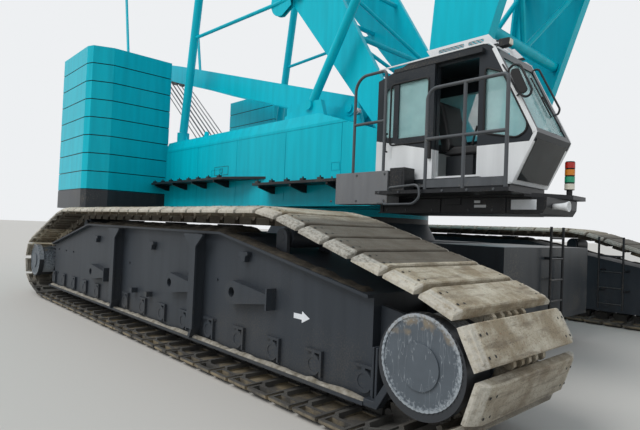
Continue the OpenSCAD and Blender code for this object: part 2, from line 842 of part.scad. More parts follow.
// Outline of a slab, drawn in by e
module slab_outline(e = 0) {
    polygon(concat(
        [[-cw_front - e, cw_inner_y + e]],
        [for (c = front_corner) [-cw_front - c[0] - e, cw_outer_y - c[1] - e]],
        [for (c = rear_corner) [-cw_front - cw_l + c[0] + e, cw_outer_y - c[1] - e]],
        [[-cw_front - cw_l + e, cw_inner_y + e]]
    ));
}

module counterweight_trays() {
    color(frame_grey) in_row() for (side = sides) scale_side(side) {
        translate([0, 0, tray_z]) linear_extrude(tray_t) slab_outline();
        span([-cw_front - tie_x[1], deck_w / 2 + seat, tray_z + tray_t / 4],
             [-cw_front - tie_x[0], cw_inner_y + 2, tray_z + tray_t]);
    }
}

// Slab of a stack, with a rebate under it that shows as a dark joint
module slab(i) {
    translate([0, 0, tray_z + tray_t + seat + i * slab_h]) {
        linear_extrude(joint_h + 1) slab_outline(joint_in);
        translate([0, 0, joint_h]) linear_extrude(slab_h - joint_h - seat) slab_outline();
    }
}

module lifting_lug(x, y, z) {
    side_plate(y - 20, y + 20) difference() {
        union() {
            translate([x, z + 110]) circle(r = 60);
            translate([x - 60, z - 2]) square([120, 112]);
        }
        translate([x, z + 110]) circle(r = 28);
    }
}

module counterweight(side) {
    color(teal) in_row() scale_side(side) {
        for (i = [0 : slab_count - 1]) slab(i);
        for (x = lug_x)
            lifting_lug(-cw_front - cw_l * x, cw_outer_y - 560, tray_z + tray_t + slab_count * slab_h);
    }
}

module counterweight_right() { counterweight(-1); }
module counterweight_left() { counterweight(1); }

// Lever brackets
lever_in = 800;
lever_out = 1000;
bracket_t = 55;
bracket_r = 215;
bracket_l = 1800;
bracket_rise = [250, 330];
bracket_end = 150;

module bracket_outline() {
    polygon([
        [lever_x - bracket_l, valley_z + seat], [lever_x + 1.5 * bracket_r, valley_z + seat],
        [lever_x + bracket_r, lever_z], [lever_x - bracket_r, lever_z + bracket_t],
        [lever_x - bracket_l + bracket_end, lever_z + bracket_rise[1]],
        [lever_x - bracket_l, lever_z + bracket_rise[0]]
    ]);
    translate([lever_x, lever_z]) circle(r = bracket_r);
}

module lever_brackets() {
    color(teal) in_row() for (s = sides) {
        for (y = [lever_in - gap - bracket_t, lever_out + gap])
            side_plate(s * y, s * (y + bracket_t)) bracket_outline();
        shaft(lever_x, lever_z, s * (lever_in - gap - 30), s * (lever_out + gap + bracket_t + 60), 80 - fit);
        shaft(lever_x, lever_z, s * (lever_out + gap + bracket_t - 2), s * (lever_out + gap + bracket_t + 25), 130);
    }
}

// Struts from the mast down to the rear of the roofs
strut_y = 1470;
strut_d = 200;
strut_foot = [-4500, 3900];
strut_lean = 8.4;
strut_dir = polar(1, 90 - strut_lean);
mast_dir = polar(1, mast_angle);
strut_l = cross([mast_foot_x, mast_foot_z] - strut_foot, mast_dir) / cross(strut_dir, mast_dir);
strut_top = strut_foot + strut_dir * strut_l;

seat_cup_r = 145;
seat_bore_r = 118;
seat_plate = [190, 100];

module strut_seats() {
    color(teal) in_row() for (s = sides) {
        translate([strut_foot.x, s * strut_y, ridge_z + seat]) difference() {
            cylinder(h = strut_foot.y - ridge_z - 20, r = seat_cup_r);
            translate([0, 0, strut_foot.y - ridge_z - 60]) cylinder(h = 200, r = seat_bore_r);
        }
        span([strut_foot.x - seat_plate.x - 80, s * strut_y - seat_plate.y, ridge_z + seat],
             [strut_foot.x + seat_plate.x + 80, s * strut_y + seat_plate.y, ridge_z + 30]);
        side_plate(s * (strut_y - 15), s * (strut_y + 15))
            polygon([
                [strut_foot.x - seat_plate.x - 60, ridge_z + 28], [strut_foot.x + seat_plate.x + 60, ridge_z + 28],
                [strut_foot.x + seat_cup_r - 5, strut_foot.y - 80], [strut_foot.x - seat_cup_r + 5, strut_foot.y - 80]
            ]);
    }
}

// Backstops for the boom
backstop_foot = [300, 3860];
backstop_u = 5520;
backstop_gap = 6;
backstop_bar_r = 70;
backstop_head_r = 110;
function boom_half(u) = boom_foot_r + u * tan(boom_flare);
function on_boom_xz(u, v) = [
    boom_foot_x + u * cos(boom_angle) + v * sin(boom_angle),
    boom_foot_z + u * sin(boom_angle) - v * cos(boom_angle)
];
bar_v = -boom_half(backstop_u) + 90;
bar_xz = on_boom_xz(backstop_u, bar_v);
backstop_dir = (bar_xz - backstop_foot) / norm(bar_xz - backstop_foot);
backstop_head = bar_xz - backstop_dir * (backstop_bar_r + backstop_head_r + backstop_gap);

stop_base = [700, 820];
stop_plate_t = 90;

module boom_backstops() {
    color(teal) in_row() for (s = sides) {
        tube([backstop_foot.x, s * strut_y, backstop_foot.y],
             [backstop_head.x, s * strut_y, backstop_head.y], 160, 16);
        shaft(backstop_head.x, backstop_head.y, s * (strut_y - 95), s * (strut_y + 95), backstop_head_r);
        shaft(backstop_foot.x, backstop_foot.y, s * (strut_y - 95), s * (strut_y + 95), 95);
        side_plate(s * (strut_y - stop_plate_t / 2), s * (strut_y + stop_plate_t / 2))
            polygon([
                [backstop_foot.x - stop_base[0], ridge_z + seat],
                [min(backstop_foot.x + stop_base[1], roof_fall_x), ridge_z + seat],
                [backstop_foot.x + 300, backstop_foot.y + 60], [backstop_foot.x - 120, backstop_foot.y + 80],
                [backstop_foot.x - stop_base[0], ridge_z + 90]
            ]);
    }
}

// Cab
cab_front_z = cab_z + 540;
cab_top = cab_z + cab_h;
function cab_points() = [
    [cab_rear, cab_z], [cab_rear + cab_floor_l, cab_z], [cab_rear + cab_knee_l, cab_front_z],
    [cab_rear + cab_roof_l, cab_top - 90], [cab_rear + cab_roof_l - 160, cab_top],
    [cab_rear + 560, cab_top], [cab_rear + 380, cab_top - 60], [cab_rear, cab_top - 170]
];
doorway_x = cab_rear + 970;
doorway_low = cab_z + 120;
doorway_high = cab_top - 160;
cab_mid_y = (cab_inner_y + cab_outer_y) / 2;

module cab_side() { polygon(cab_points()); }

module cab_inside() { offset(delta = -cab_wall) cab_side(); }

// Windows of the cab's side walls, as outlines in xz
window_low = cab_z + 680;
window_top = cab_top - 300;

module rounded(r) {
    offset(r = r) offset(delta = -r) children();
}

module front_side_window() {
    x = doorway_x + doorway_l + 80;
    front = cab_rear + cab_knee_l;
    rounded(40) polygon([
        [x, window_top], [cab_rear + cab_roof_l + 90, window_top - 90], [front - 105, cab_front_z + 110],
        [front - 120, cab_front_z + 20], [front - 220, cab_front_z - 40], [x, cab_front_z + 50]
    ]);
}

module left_window() {
    rounded(60) polygon([
        [cab_rear + 200, window_low], [cab_rear + cab_knee_l - 190, window_low],
        [cab_rear + cab_roof_l - 50, window_top], [cab_rear + 200, window_top]
    ]);
}

module rear_side_window() {
    x = doorway_x - 110;
    rounded(60) polygon([[cab_rear + 140, window_low], [x, window_low], [x, window_top], [cab_rear + 140, window_top]]);
}

module front_cut(z0, z1, depth) {
    // Space of a pane in the sloped front, between two heights
    upper = z0 >= cab_front_z;
    a = upper ? cab_points()[2] : cab_points()[1];
    b = upper ? cab_points()[3] : cab_points()[2];
    p = a + (b - a) * (z0 - a.y) / (b.y - a.y);
    q = a + (b - a) * (z1 - a.y) / (b.y - a.y);
    polygon([p + [-depth, 0], p + [depth, 0], q + [depth, 0], q + [-depth, 0]]);
}

module cab_shell() {
    color(cab_white) in_row() difference() {
        side_plate(-cab_inner_y, -cab_outer_y + cab_wall + seat) cab_side();
        side_plate(-cab_inner_y - cab_wall, -cab_outer_y) cab_inside();
        side_plate(-cab_inner_y + 10, -cab_inner_y - cab_wall - 10) left_window();
        side_plate(-cab_inner_y - 70, -cab_outer_y + 70) {
            front_cut(cab_front_z + 60, cab_top - 200, 220);
            front_cut(cab_z + 110, cab_front_z - 60, 160);
        }
        span([cab_rear - 10, -cab_outer_y + 120, cab_z + 700],
             [cab_rear + cab_wall + 10, -cab_inner_y - 120, cab_top - 330]);
    }
}

// Outer wall, with the doorway and its windows
module cab_side_wall() {
    color(cab_white) in_row() side_plate(-cab_outer_y, -cab_outer_y + cab_wall) difference() {
        cab_side();
        translate([doorway_x, doorway_low]) square([doorway_l, doorway_high - doorway_low]);
        front_side_window();
        rear_side_window();
    }
}

// Pane with its middle at y, smaller than its opening
module pane(y) {
    side_plate(y - glass_t / 2, y + glass_t / 2) offset(delta = -seat) children();
}

module cab_glass() {
    y_in = -cab_inner_y - cab_wall / 2;
    y_out = -cab_outer_y + cab_wall / 2;
    color(glass_tint) in_row() {
        pane(y_out) front_side_window();
        pane(y_out) rear_side_window();
        pane(y_in) left_window();
        side_plate(-cab_inner_y - 70 - seat, -cab_outer_y + 70 + seat) {
            offset(delta = -seat) intersection() {
                front_cut(cab_front_z + 60, cab_top - 200, 200);
                pane_band();
            }
            offset(delta = -seat) intersection() {
                front_cut(cab_z + 110, cab_front_z - 60, 140);
                pane_band();
            }
        }
        span([cab_rear + 26, -cab_outer_y + 120 + seat, cab_z + 700 + seat],
             [cab_rear + 26 + glass_t, -cab_inner_y - 120 - seat, cab_top - 330 - seat]);
    }
}

// Thin band behind the cab's sloped front, for the panes
module pane_band() {
    difference() {
        translate([-20, 0]) cab_side();
        translate([-20 - glass_t * 1.3, 0]) cab_side();
    }
}

// Seat in the cab: cushion and backrest
seat_x = 3460;
seat_z = cab_z + 400;
seat_half = 250;
seat_l = 540;
cushion_h = 120;

module cab_seat() {
    color(black) in_row() side_plate(-cab_mid_y - seat_half, -cab_mid_y + seat_half) {
        polygon([[seat_x, seat_z], [seat_x + seat_l, seat_z], [seat_x + seat_l, seat_z + cushion_h],
                 [seat_x + 160, seat_z + cushion_h], [seat_x + 130, seat_z + 20]]);
        polygon([[seat_x, seat_z + 20], [seat_x + 130 - seat, seat_z + 20],
                 [seat_x + 150, seat_z + cushion_h + 10], [seat_x - 20, seat_z + 740],
                 [seat_x - 140, seat_z + 720]]);
    }
}

// Platform in front of the cab and beside it
platform_t = 90;
platform_z = cab_z - platform_t;
platform_w = 570;
platform_y = cab_outer_y + platform_w;
platform_nose = 205;
platform_front = cab_rear + cab_knee_l + platform_nose;
bearer_x = [cab_rear + 100, cab_rear + cab_floor_l - 30];
bearer_h = 330;
step_l = 920;
step_x1 = cab_rear + 490;

module cab_platform() {
    wall_y = cab_outer_y - 10;
    color(black) in_row() {
        span([step_x1 + 10, -platform_y, platform_z - 40],
             [platform_front - platform_nose - 10, -cab_outer_y - 70, platform_z]);
        span([bearer_x[0], -wall_y, cab_z - bearer_h], [bearer_x[1], -cab_inner_y - 5, cab_z - seat]);
        span([step_x1 + 10, -cab_outer_y - 80, platform_z - 60], [bearer_x[1], -wall_y + 2, platform_z - 2]);
        translate([0, 0, platform_z - 60]) linear_extrude(45)
            polygon([
                [bearer_x[1] - 20, -cab_outer_y - 75], [platform_front - 295, -cab_outer_y - 75],
                [platform_front, -cab_mid_y + 20], [platform_front, -cab_inner_y - 65],
                [bearer_x[1] - 20, -cab_inner_y - 5]
            ]);
        span([cab_rear - 260, -wall_y, cab_z - 170], [bearer_x[0] + 2, -deck_front_y - seat, cab_z - 20]);
    }
}

rail_posts = [platform_front - 1225, platform_front - 745, platform_front - 265];
rail_d = 40;

// Box with steps beside the cab's rear, and the loop on it
step_x0 = step_x1 - step_l;
step_y = [cab_outer_y + 85, cab_outer_y + 330];
step_top = platform_z + 280;
loop_x = [step_x0 + 290, step_x1 - 100];
loop_h = 1300;
toe_h = [20, 110];

// Quarter bend of a rail at the top of a post; s is 1 at the front post and -1 at the rear one
module rail_bend(x, y, z, r, s) {
    translate([x - s * r, y, z - r]) rotate([90, 0, 0]) mirror([1 - s, 0, 0])
        rotate_extrude(angle = 90) translate([r, 0]) circle(d = rail_d, $fn = 24);
}

// Two posts and the rail bent over them
module rail_loop(x, y, z, radii) {
    for (k = [0, 1]) {
        tube([x[k], y, z[0]], [x[k], y, z[1] - radii[k]], rail_d, 24);
        rail_bend(x[k], y, z[1], radii[k], 2 * k - 1);
    }
    tube([x[0] + radii[0], y, z[1]], [x[1] - radii[1], y, z[1]], rail_d, 24);
}

module handrails() {
    y = -platform_y + 30;
    rail_x = [rail_posts[0], rail_posts[2]];
    color(black) in_row() {
        rail_loop(rail_x, y, [platform_z + seat, platform_z + rail_h], [130, 60]);
        tube([rail_posts[1], y, platform_z + seat], [rail_posts[1], y, platform_z + rail_h], rail_d, 24);
        tube([rail_x[0], y, platform_z + rail_h / 2], [rail_x[1], y, platform_z + rail_h / 2], rail_d, 24);
        span([rail_x[0], y - 4, platform_z + toe_h[0]], [rail_x[1], y + 4, platform_z + toe_h[1]]);
        rail_loop(loop_x, -step_y[1] + 30, [step_top + seat, step_top + loop_h], [200, 60]);
        tube([loop_x[0], -step_y[1] + 30, step_top + loop_h / 2],
             [loop_x[1], -step_y[1] + 30, step_top + loop_h / 2], rail_d, 24);
    }
}

module step_box() {
    color(frame_grey) in_row() {
        span([step_x0, -step_y[1], platform_z - 140], [step_x1, -step_y[0], step_top]);
        span([step_x0 - 130, -step_y[0] - 2, platform_z - 50], [step_x0 + 105, -house_y - seat, platform_z + 170]);
    }
}

light_r = 50;
light_band_h = 72;
light_groove = 6;

module warning_light() {
    in_row() translate([platform_front - 45, -cab_mid_y + 30, platform_z - 15 + seat]) color(lamp_red) {
        cylinder(h = 60, r = 30);
        for (i = [0 : 3]) translate([0, 0, 58 + i * (light_band_h + light_groove)]) {
            cylinder(h = light_band_h, r = light_r);
            translate([0, 0, light_band_h - 1]) cylinder(h = light_groove + 2, r = light_r - light_groove);
        }
    }
}

// Roof guard: a plate on edge at each side, with openings, and slats across them
guard_l = 870;
guard_x = [cab_rear + cab_roof_l - 160 - guard_l, cab_rear + cab_roof_l - 160];
guard_h = 130;
guard_t = 12;
slat_count = 14;

module guard_side() {
    z = cab_top + seat;
    difference() {
        polygon([
            [guard_x[0] + 90, z], [guard_x[0], z + guard_h], [guard_x[1], z + guard_h],
            [guard_x[1] + 150, z - 40], [guard_x[1] + 100, z - 40], [guard_x[1] - 20, z + 30], [guard_x[1] - 20, z]
        ]);
        for (x = [[180, 560], [600, 820]])
            rounded(20) polygon([
                [guard_x[0] + x[0] + 40, z - 40], [guard_x[0] + x[0], z + guard_h - 35],
                [guard_x[0] + x[1], z + guard_h - 35], [guard_x[0] + x[1] - 40, z - 40]
            ]);
    }
}

module cab_fittings() {
    sill_h = 50;
    floor_z = cab_z + cab_wall + seat;
    color(cab_dark) in_row() {
        for (z = [doorway_high + door_lap + seat, doorway_low - door_lap - seat - sill_h])
            span([doorway_x - door_shift - 10, -door_y - door_t - 8, z],
                 [doorway_x + doorway_l + 70, -cab_outer_y - seat, z + sill_h]);
        for (y = [-cab_outer_y + 110, -cab_inner_y - 140]) side_plate(y, y + guard_t) guard_side();
        for (i = [0 : slat_count - 1]) {
            x = mix(guard_x[0] + 40, guard_x[1] - 40, i / (slat_count - 1));
            span([x, -cab_outer_y + 112, cab_top + 100], [x + 8, -cab_inner_y - 138, cab_top + guard_h]);
        }
        span([seat_x + 60, -cab_mid_y - 200, floor_z], [seat_x + 440, -cab_mid_y + 200, seat_z - seat]);
        span([seat_x + 190, -cab_mid_y + seat_half + 10, floor_z],
             [seat_x + 690, -cab_inner_y - cab_wall - 20, seat_z + 230]);
    }
}

door_y = cab_outer_y + 10;
door_t = 50;
door_lap = 30;
door_l = doorway_l + 2 * door_lap + 10;
door_shift = door_l + 10;
door_rail_w = 80;

module door_outline() {
    translate([doorway_x - door_shift, doorway_low - door_lap])
        square([door_l, doorway_high - doorway_low + 2 * door_lap]);
}

module door_window() {
    low = doorway_low + 520;
    translate([doorway_x - door_shift + door_rail_w, low])
        square([door_l - 2 * door_rail_w, doorway_high - door_rail_w - 40 - low]);
}

module cab_door() {
    color(cab_white) in_row() side_plate(-door_y, -door_y - door_t) difference() {
        door_outline();
        door_window();
    }
}

module cab_door_glass() {
    color(glass_tint) in_row()
        pane(-door_y - door_t / 2) door_window();
}

// Boom
module on_boom() {
    translate([boom_foot_x, 0, boom_foot_z]) rotate([0, boom_tilt, 0]) children();
}

boom_plate_t = 60;
reach = 3000;
end_run = 0.02;
lace_toe = 0.62;
boom_chord_d = 180;
boom_lace_d = 110;
brace_in = 140;
brace_d = 90;
flange_w = 120;
edge_t = 40;
boom_deep = boom_half(boom_base_l) - boom_chord_d / 2;
boom_wide = boom_w / 2 - boom_chord_d / 2;
// Stations of the base section's cross tubes: [distance from the foot, tube diameter]
base_stations = [[1900, 160], [3400, 120], [4900, 120], [6300, 120], [7500, 160]];

module base_plate_outline() {
    difference() {
        union() {
            circle(r = boom_foot_r);
            polygon([
                [-boom_foot_r, 0], [boom_foot_r, 0],
                [boom_half(boom_base_l), boom_base_l], [-boom_half(boom_base_l), boom_base_l]
            ]);
        }
        circle(d = boom_foot_bore);
    }
}

module edge_flange(face) {
    // Strip along one edge of a side plate
    low = boom_foot_r;
    polygon([
        [face * boom_half(low), low], [face * boom_half(boom_base_l), boom_base_l],
        [face * (boom_half(boom_base_l) - edge_t), boom_base_l], [face * (boom_half(low) - edge_t), low]
    ]);
}

// Bracing of the front or the rear face: cross tubes, with a K of diagonals in each bay
module base_bracing(f, inner) {
    for (i = [0 : len(base_stations) - 1]) {
        u = base_stations[i][0];
        v = f * (boom_half(u) - brace_in);
        tube([v, -inner, u], [v, inner, u], base_stations[i][1], 16);
        if (i > 0) {
            low = base_stations[i - 1][0];
            for (s = sides)
                tube([f * (boom_half(low) - brace_in), 0, low], [v, s * inner, u], brace_d);
        }
    }
}

module boom_base() {
    inner = boom_w / 2 - boom_plate_t;
    color(teal) in_row() on_boom() {
        for (s = sides) {
            side_plate(s * inner, s * boom_w / 2) base_plate_outline();
            side_plate(s * (nose_out + gap), s * (inner + 2)) difference() {
                circle(r = boom_foot_r);
                circle(d = boom_foot_bore);
            }
            for (f = sides)
                side_plate(s * (inner - flange_w), s * (inner + 2)) edge_flange(f);
            shaft(bar_v, backstop_u, s * (boom_w / 2 - 2), s * (strut_y + 90), backstop_bar_r);
        }
        for (f = sides) intersection() {
            base_bracing(f, inner + brace_d);
            span([-reach, -inner + seat, 0], [reach, inner - seat, boom_base_l]);
        }
    }
}

// Length of member between two stations
module between(u0, u1) {
    intersection() {
        children();
        span([-reach, -reach, u0], [reach, reach, u1]);
    }
}

// Point on a chord at the share t of its length
function corner(u, deep, wide, t, x, y) =
    [x * mix(deep[0], deep[1], t), y * mix(wide[0], wide[1], t), mix(u[0], u[1], t)];

// Two chords of the front or the rear face
module chords(s, u, deep, wide, d) {
    for (y = sides) tube(corner(u, deep, wide, -end_run, s, y), corner(u, deep, wide, 1 + end_run, s, y), d, 12);
}

// Laces of a face in its bays, their toes clear of each other; side tells a side face
module laces(s, u, deep, wide, bays, d, side) {
    e = lace_toe * d / (u[1] - u[0]);
    for (i = [0 : bays - 1]) {
        z = i % 2 == 0 ? s : -s;
        a = i / bays + e;
        b = (i + 1) / bays - e;
        if (side) tube(corner(u, deep, wide, a, -z, s), corner(u, deep, wide, b, z, s), d);
        else tube(corner(u, deep, wide, a, s, -z), corner(u, deep, wide, b, s, z), d);
    }
}

// Front or rear face: its chords, the laces between them and a cross tube at each end
module lattice_face(s, u, deep, wide, bays, chord_d, lace_d) {
    chords(s, u, deep, wide, chord_d);
    laces(s, u, deep, wide, bays, lace_d, false);
    for (k = [0, 1]) {
        z = u[k] + (1 - 2 * k) * lace_d / 2;
        tube([s * deep[k], -wide[k], z], [s * deep[k], wide[k], z], lace_d);
    }
}

// Four-chord lattice between stations u[0] and u[1], its corners given by half depths and half widths
module lattice_box(u, deep, wide, bays, chord_d, lace_d) {
    between(u[0], u[1]) {
        for (s = sides) lattice_face(s, u, deep, wide, bays, chord_d, lace_d);
        difference() {
            for (s = sides) laces(s, u, deep, wide, bays, lace_d, true);
            for (s = sides) chords(s, u, deep, wide, chord_d + 2 * seat);
        }
    }
}

module boom_insert() {
    color(teal) in_row() on_boom()
        lattice_box([boom_base_l + seat, boom_base_l + boom_insert_l - seat],
                    [boom_deep, boom_deep], [boom_wide, boom_wide], 8, boom_chord_d, boom_lace_d);
}

head_low = boom_base_l + boom_insert_l;
head_y = 620;
head_plate_t = 100;
head_plate_l = 820;
head_deep = 560;
head_lug = [-600, boom_l];
head_pin_r = 70;
lug_pin_r = 90;
head_tube_d = 200;

// Cheek of the head, between the lattice and the sheaves
module head_plate_outline() {
    low = boom_l - head_plate_l + seat;
    half = head_deep + boom_chord_d / 2;
    difference() {
        polygon([
            [-half, low], [half, low], [head_offset + 150, boom_l - 150],
            [head_offset + 150, boom_l + 150], [-500, boom_l + 300], [-half - 100, boom_l + 100]
        ]);
        translate([head_offset, boom_l]) circle(r = head_pin_r + fit);
        translate(head_lug) circle(r = lug_pin_r + fit);
    }
}

module boom_head() {
    cheek = head_plate_t / 2;
    color(teal) in_row() on_boom() {
        lattice_box([head_low, boom_l - head_plate_l], [boom_deep, head_deep], [boom_wide, head_y], 2,
                    boom_chord_d, boom_lace_d);
        for (s = sides)
            side_plate(s * (head_y - cheek), s * (head_y + cheek)) head_plate_outline();
        for (x = [-head_deep, head_deep / 2])
            shaft(x, boom_l - head_plate_l + head_tube_d, -head_y + cheek + seat, head_y - cheek - seat,
                  head_tube_d / 2);
        shaft(head_lug.x, head_lug.y, -mast_w / 2, mast_w / 2, lug_pin_r);
        shaft(head_offset, boom_l, -head_y - cheek - 40, head_y + cheek + 40, head_pin_r);
    }
}

sheave_y = [-420, -140, 140, 420];
groove_depth = 40;
groove_half = 38;

module sheave(x, z, y, r, bore) {
    g = groove_half;
    translate([x, y, z]) rotate([90, 0, 0]) rotate_extrude()
        polygon([
            [bore, -45], [bore + 60, -45], [bore + 60, -20], [r - 60, -20], [r - 30, -g], [r, -g],
            [r - groove_depth, 0],
            [r, g], [r - 30, g], [r - 60, 20], [bore + 60, 20], [bore + 60, 45], [bore, 45]
        ]);
}

module boom_head_sheaves() {
    color(black) in_row() on_boom()
        for (y = sheave_y) sheave(head_offset, boom_l, y, head_sheave_r, head_pin_r + seat);
}

// Hook on its falls
fall_x = head_sheave_r - groove_depth + rope_d / 2 / sin(atan(groove_half / groove_depth)) + seat;
block_z = head_axis_z - hook_drop;

module hoist_ropes() {
    color(rope_grey) in_row()
        for (y = sheave_y, s = sides)
            tube([head_axis_x + s * fall_x, y, head_axis_z], [head_axis_x + s * fall_x, y, block_z], rope_d);
}

module hook_block() {
    color(teal) in_row() {
        for (y = sheave_y) {
            translate([head_axis_x, 0, block_z]) sheave(0, 0, y, head_sheave_r, 70 - fit);
        }
        shaft(head_axis_x, block_z, -560, 560, 70);
        for (s = sides)
            side_plate(s * 520, s * 560) translate([head_axis_x, 0])
                polygon([[-260, block_z + 250], [260, block_z + 250], [300, block_z - 500],
                         [120, block_z - 900], [-120, block_z - 900], [-300, block_z - 500]]);
        span([head_axis_x - 180, -560, block_z - 880], [head_axis_x + 180, 560, block_z - 620]);
    }
}

hook_z = block_z - 880;

// Double hook, cut from thick plate in the yz plane
hook_bowl_r = 170;
hook_out_r = 300;

module hook_outline() {
    difference() {
        union() {
            for (s = sides) translate([s * hook_bowl_r, -620]) circle(r = hook_out_r - 20);
            translate([-130, -640]) square([260, 340]);
        }
        for (s = sides) {
            translate([s * (hook_bowl_r + 70), -560]) circle(r = hook_bowl_r);
            translate([s * (hook_bowl_r + 70) - 105, -560]) square([210, 400]);
        }
    }
}

module hook() {
    color(frame_grey) in_row() translate([head_axis_x, 0, hook_z - seat]) {
        translate([0, 0, -320]) cylinder(h = 320, r = 80);
        translate([-70, 0, 0]) rotate([90, 0, 90]) linear_extrude(140) hook_outline();
    }
}

// Mast
module on_mast() {
    translate([mast_foot_x, 0, mast_foot_z]) rotate([0, mast_tilt, 0]) children();
}

function mast_half(u) = mast_foot_r + u * tan(mast_flare);
mast_chord_d = 130;
mast_lace_d = 80;
mast_deep = mast_half(mast_plate_l) - mast_chord_d / 2;
mast_mid_y = mast_w / 2 - mast_leg_t / 2;
mast_stations = [2300, 4100, 5900, 7700, 9600];
mast_brace_in = 120;
mast_cross_d = 100;
mast_sheave_y = [-300, -100, 100, 300];

module mast_leg_outline() {
    difference() {
        union() {
            circle(r = mast_foot_r);
            polygon([
                [-mast_foot_r, 0], [mast_foot_r, 0],
                [mast_half(mast_plate_l), mast_plate_l], [-mast_half(mast_plate_l), mast_plate_l]
            ]);
        }
        circle(r = 70);
    }
}

// Bracing of the front or the rear face of the plated part
module mast_bracing(f, inner) {
    for (i = [0 : len(mast_stations) - 1]) {
        u = mast_stations[i];
        v = f * (mast_half(u) - mast_brace_in);
        tube([v, -inner, u], [v, inner, u], mast_cross_d);
        if (i > 0) {
            low = mast_stations[i - 1];
            z = i % 2 == 0 ? 1 : -1;
            tube([f * (mast_half(low) - mast_brace_in), -z * mast_leg_in, low], [v, z * mast_leg_in, u],
                 mast_lace_d);
        }
    }
}

module mast_base() {
    color(teal) in_row() on_mast() {
        for (s = sides)
            side_plate(s * mast_leg_in, s * mast_w / 2) mast_leg_outline();
        for (f = sides) intersection() {
            mast_bracing(f, mast_leg_in + mast_lace_d);
            span([-reach, -mast_leg_in + seat, 0], [reach, mast_leg_in - seat, mast_plate_l]);
        }
    }
}

mast_head_l = 900;
mast_head_u = mast_l - mast_head_l;
mast_head_deep = 330;
mast_pin_r = 80;
mast_sheave_r = 250;
mast_tube_d = 300;

module mast_lattice() {
    color(teal) in_row() on_mast()
        lattice_box([mast_plate_l + seat, mast_head_u - seat],
                    [mast_deep, mast_head_deep], [mast_mid_y, mast_mid_y], 8, mast_chord_d, mast_lace_d);
}

module mast_head_outline() {
    half = mast_head_deep + mast_chord_d / 2;
    difference() {
        union() {
            polygon([[-half, mast_head_u], [half, mast_head_u], [mast_head_r, mast_l], [-mast_head_r, mast_l]]);
            translate([0, mast_l]) circle(r = mast_head_r);
        }
        translate([0, mast_l]) circle(r = mast_pin_r + fit);
    }
}

module mast_head() {
    color(teal) in_row() on_mast() {
        for (s = sides)
            side_plate(s * mast_leg_in, s * mast_w / 2) mast_head_outline();
        shaft(0, mast_head_u + mast_tube_d, -mast_leg_in + seat, mast_leg_in - seat, mast_tube_d / 2);
        shaft(0, mast_l, -mast_w / 2 - 150, mast_w / 2 + 150, mast_pin_r);
        for (y = mast_sheave_y) shaft(0, mast_l, y - 45, y + 45, mast_sheave_r);
    }
}

// Short brace from a strut to the mast's leg, at this height
brace_z = 6200;
brace_eye_x = -450;
brace_eye_d = 140;

module mast_struts() {
    foot_x = strut_foot.x + (brace_z - strut_foot.y) * tan(strut_lean);
    brace_y = mast_w / 2 + 60;
    color(teal) in_row() for (s = sides) {
        tube([strut_foot.x, s * strut_y, strut_foot.y], [strut_top.x, s * strut_y, strut_top.y], strut_d, 16);
        shaft(strut_top.x, strut_top.y, s * (mast_w / 2 + seat), s * (strut_y + 100), 130);
        difference() {
            tube([foot_x, s * strut_y, brace_z], [brace_eye_x, s * brace_y, brace_z], 80);
            tube([strut_foot.x, s * strut_y, strut_foot.y], [strut_top.x, s * strut_y, strut_top.y],
                 strut_d + 2 * seat, 16);
        }
        shaft(brace_eye_x, brace_z, s * (mast_w / 2 + seat), s * (brace_y + 10), brace_eye_d / 2);
    }
}

// Lever between the mast and the deck
module on_lever() {
    translate([lever_x, 0, lever_z]) rotate([0, lever_tilt, 0]) children();
}

lever_tip_y = 1250;

module lever() {
    color(teal) in_row() on_lever() {
        for (s = sides)
            side_plate(s * lever_in, s * lever_out) difference() {
                union() {
                    circle(r = lever_depth / 2);
                    polygon([[-lever_depth / 2, 0], [lever_depth / 2, 0], [lever_depth / 2, lever_l * 0.7],
                             [160, lever_l + 200], [-160, lever_l + 200], [-lever_depth / 2, lever_l * 0.7]]);
                }
                circle(r = 80);
            }
        for (u = [2500, 5500, 8600])
            tube([0, -lever_in - 2, u], [0, lever_in + 2, u], 160, 12);
        shaft(0, lever_l, -lever_tip_y, lever_tip_y, 80);
    }
}

module lever_sheaves() {
    color(black) in_row() on_lever()
        for (y = [-600, -360, -120, 120, 360, 600]) sheave(0, lever_l, y, 300, 80 + seat);
}

// Bars with eyes between two points in the xz plane
module bar_string(a, b, y0, y1, count, w) {
    d = (b - a) / count;
    for (i = [0 : count - 1])
        side_plate(y0, y1) {
            p = a + d * i;
            q = a + d * (i + 1);
            n = [-d.y, d.x] / norm(d) * w / 2;
            polygon([p + n, p - n, q - n, q + n]);
        }
}

module lever_links() {
    y = lever_tip_y + gap;
    color(teal) in_row() for (s = sides) difference() {
        union() {
            bar_string(lever_tip, mast_tip, s * y, s * (y + 40), 3, 110);
            side_plate(s * y, s * (y + 40)) {
                translate(lever_tip) circle(r = 120);
                translate(mast_tip) circle(r = 130);
            }
        }
        shaft(mast_tip.x, mast_tip.y, s * (y - 5), s * (y + 60), 80 + fit);
    }
}

lug_xz = on_boom_xz(head_lug.y, head_lug.x);

module boom_pendants() {
    color(teal) in_row() for (s = sides) difference() {
        union() {
            bar_string(lug_xz, mast_tip, s * (mast_w / 2 + gap), s * (mast_w / 2 + gap + 30), 3, 110);
            side_plate(s * (mast_w / 2 + gap), s * (mast_w / 2 + gap + 30)) {
                translate(lug_xz) circle(r = 120);
                translate(mast_tip) circle(r = 130);
            }
        }
        shaft(mast_tip.x, mast_tip.y, s * (mast_w / 2), s * (mast_w / 2 + 60), 80 + fit);
    }
}

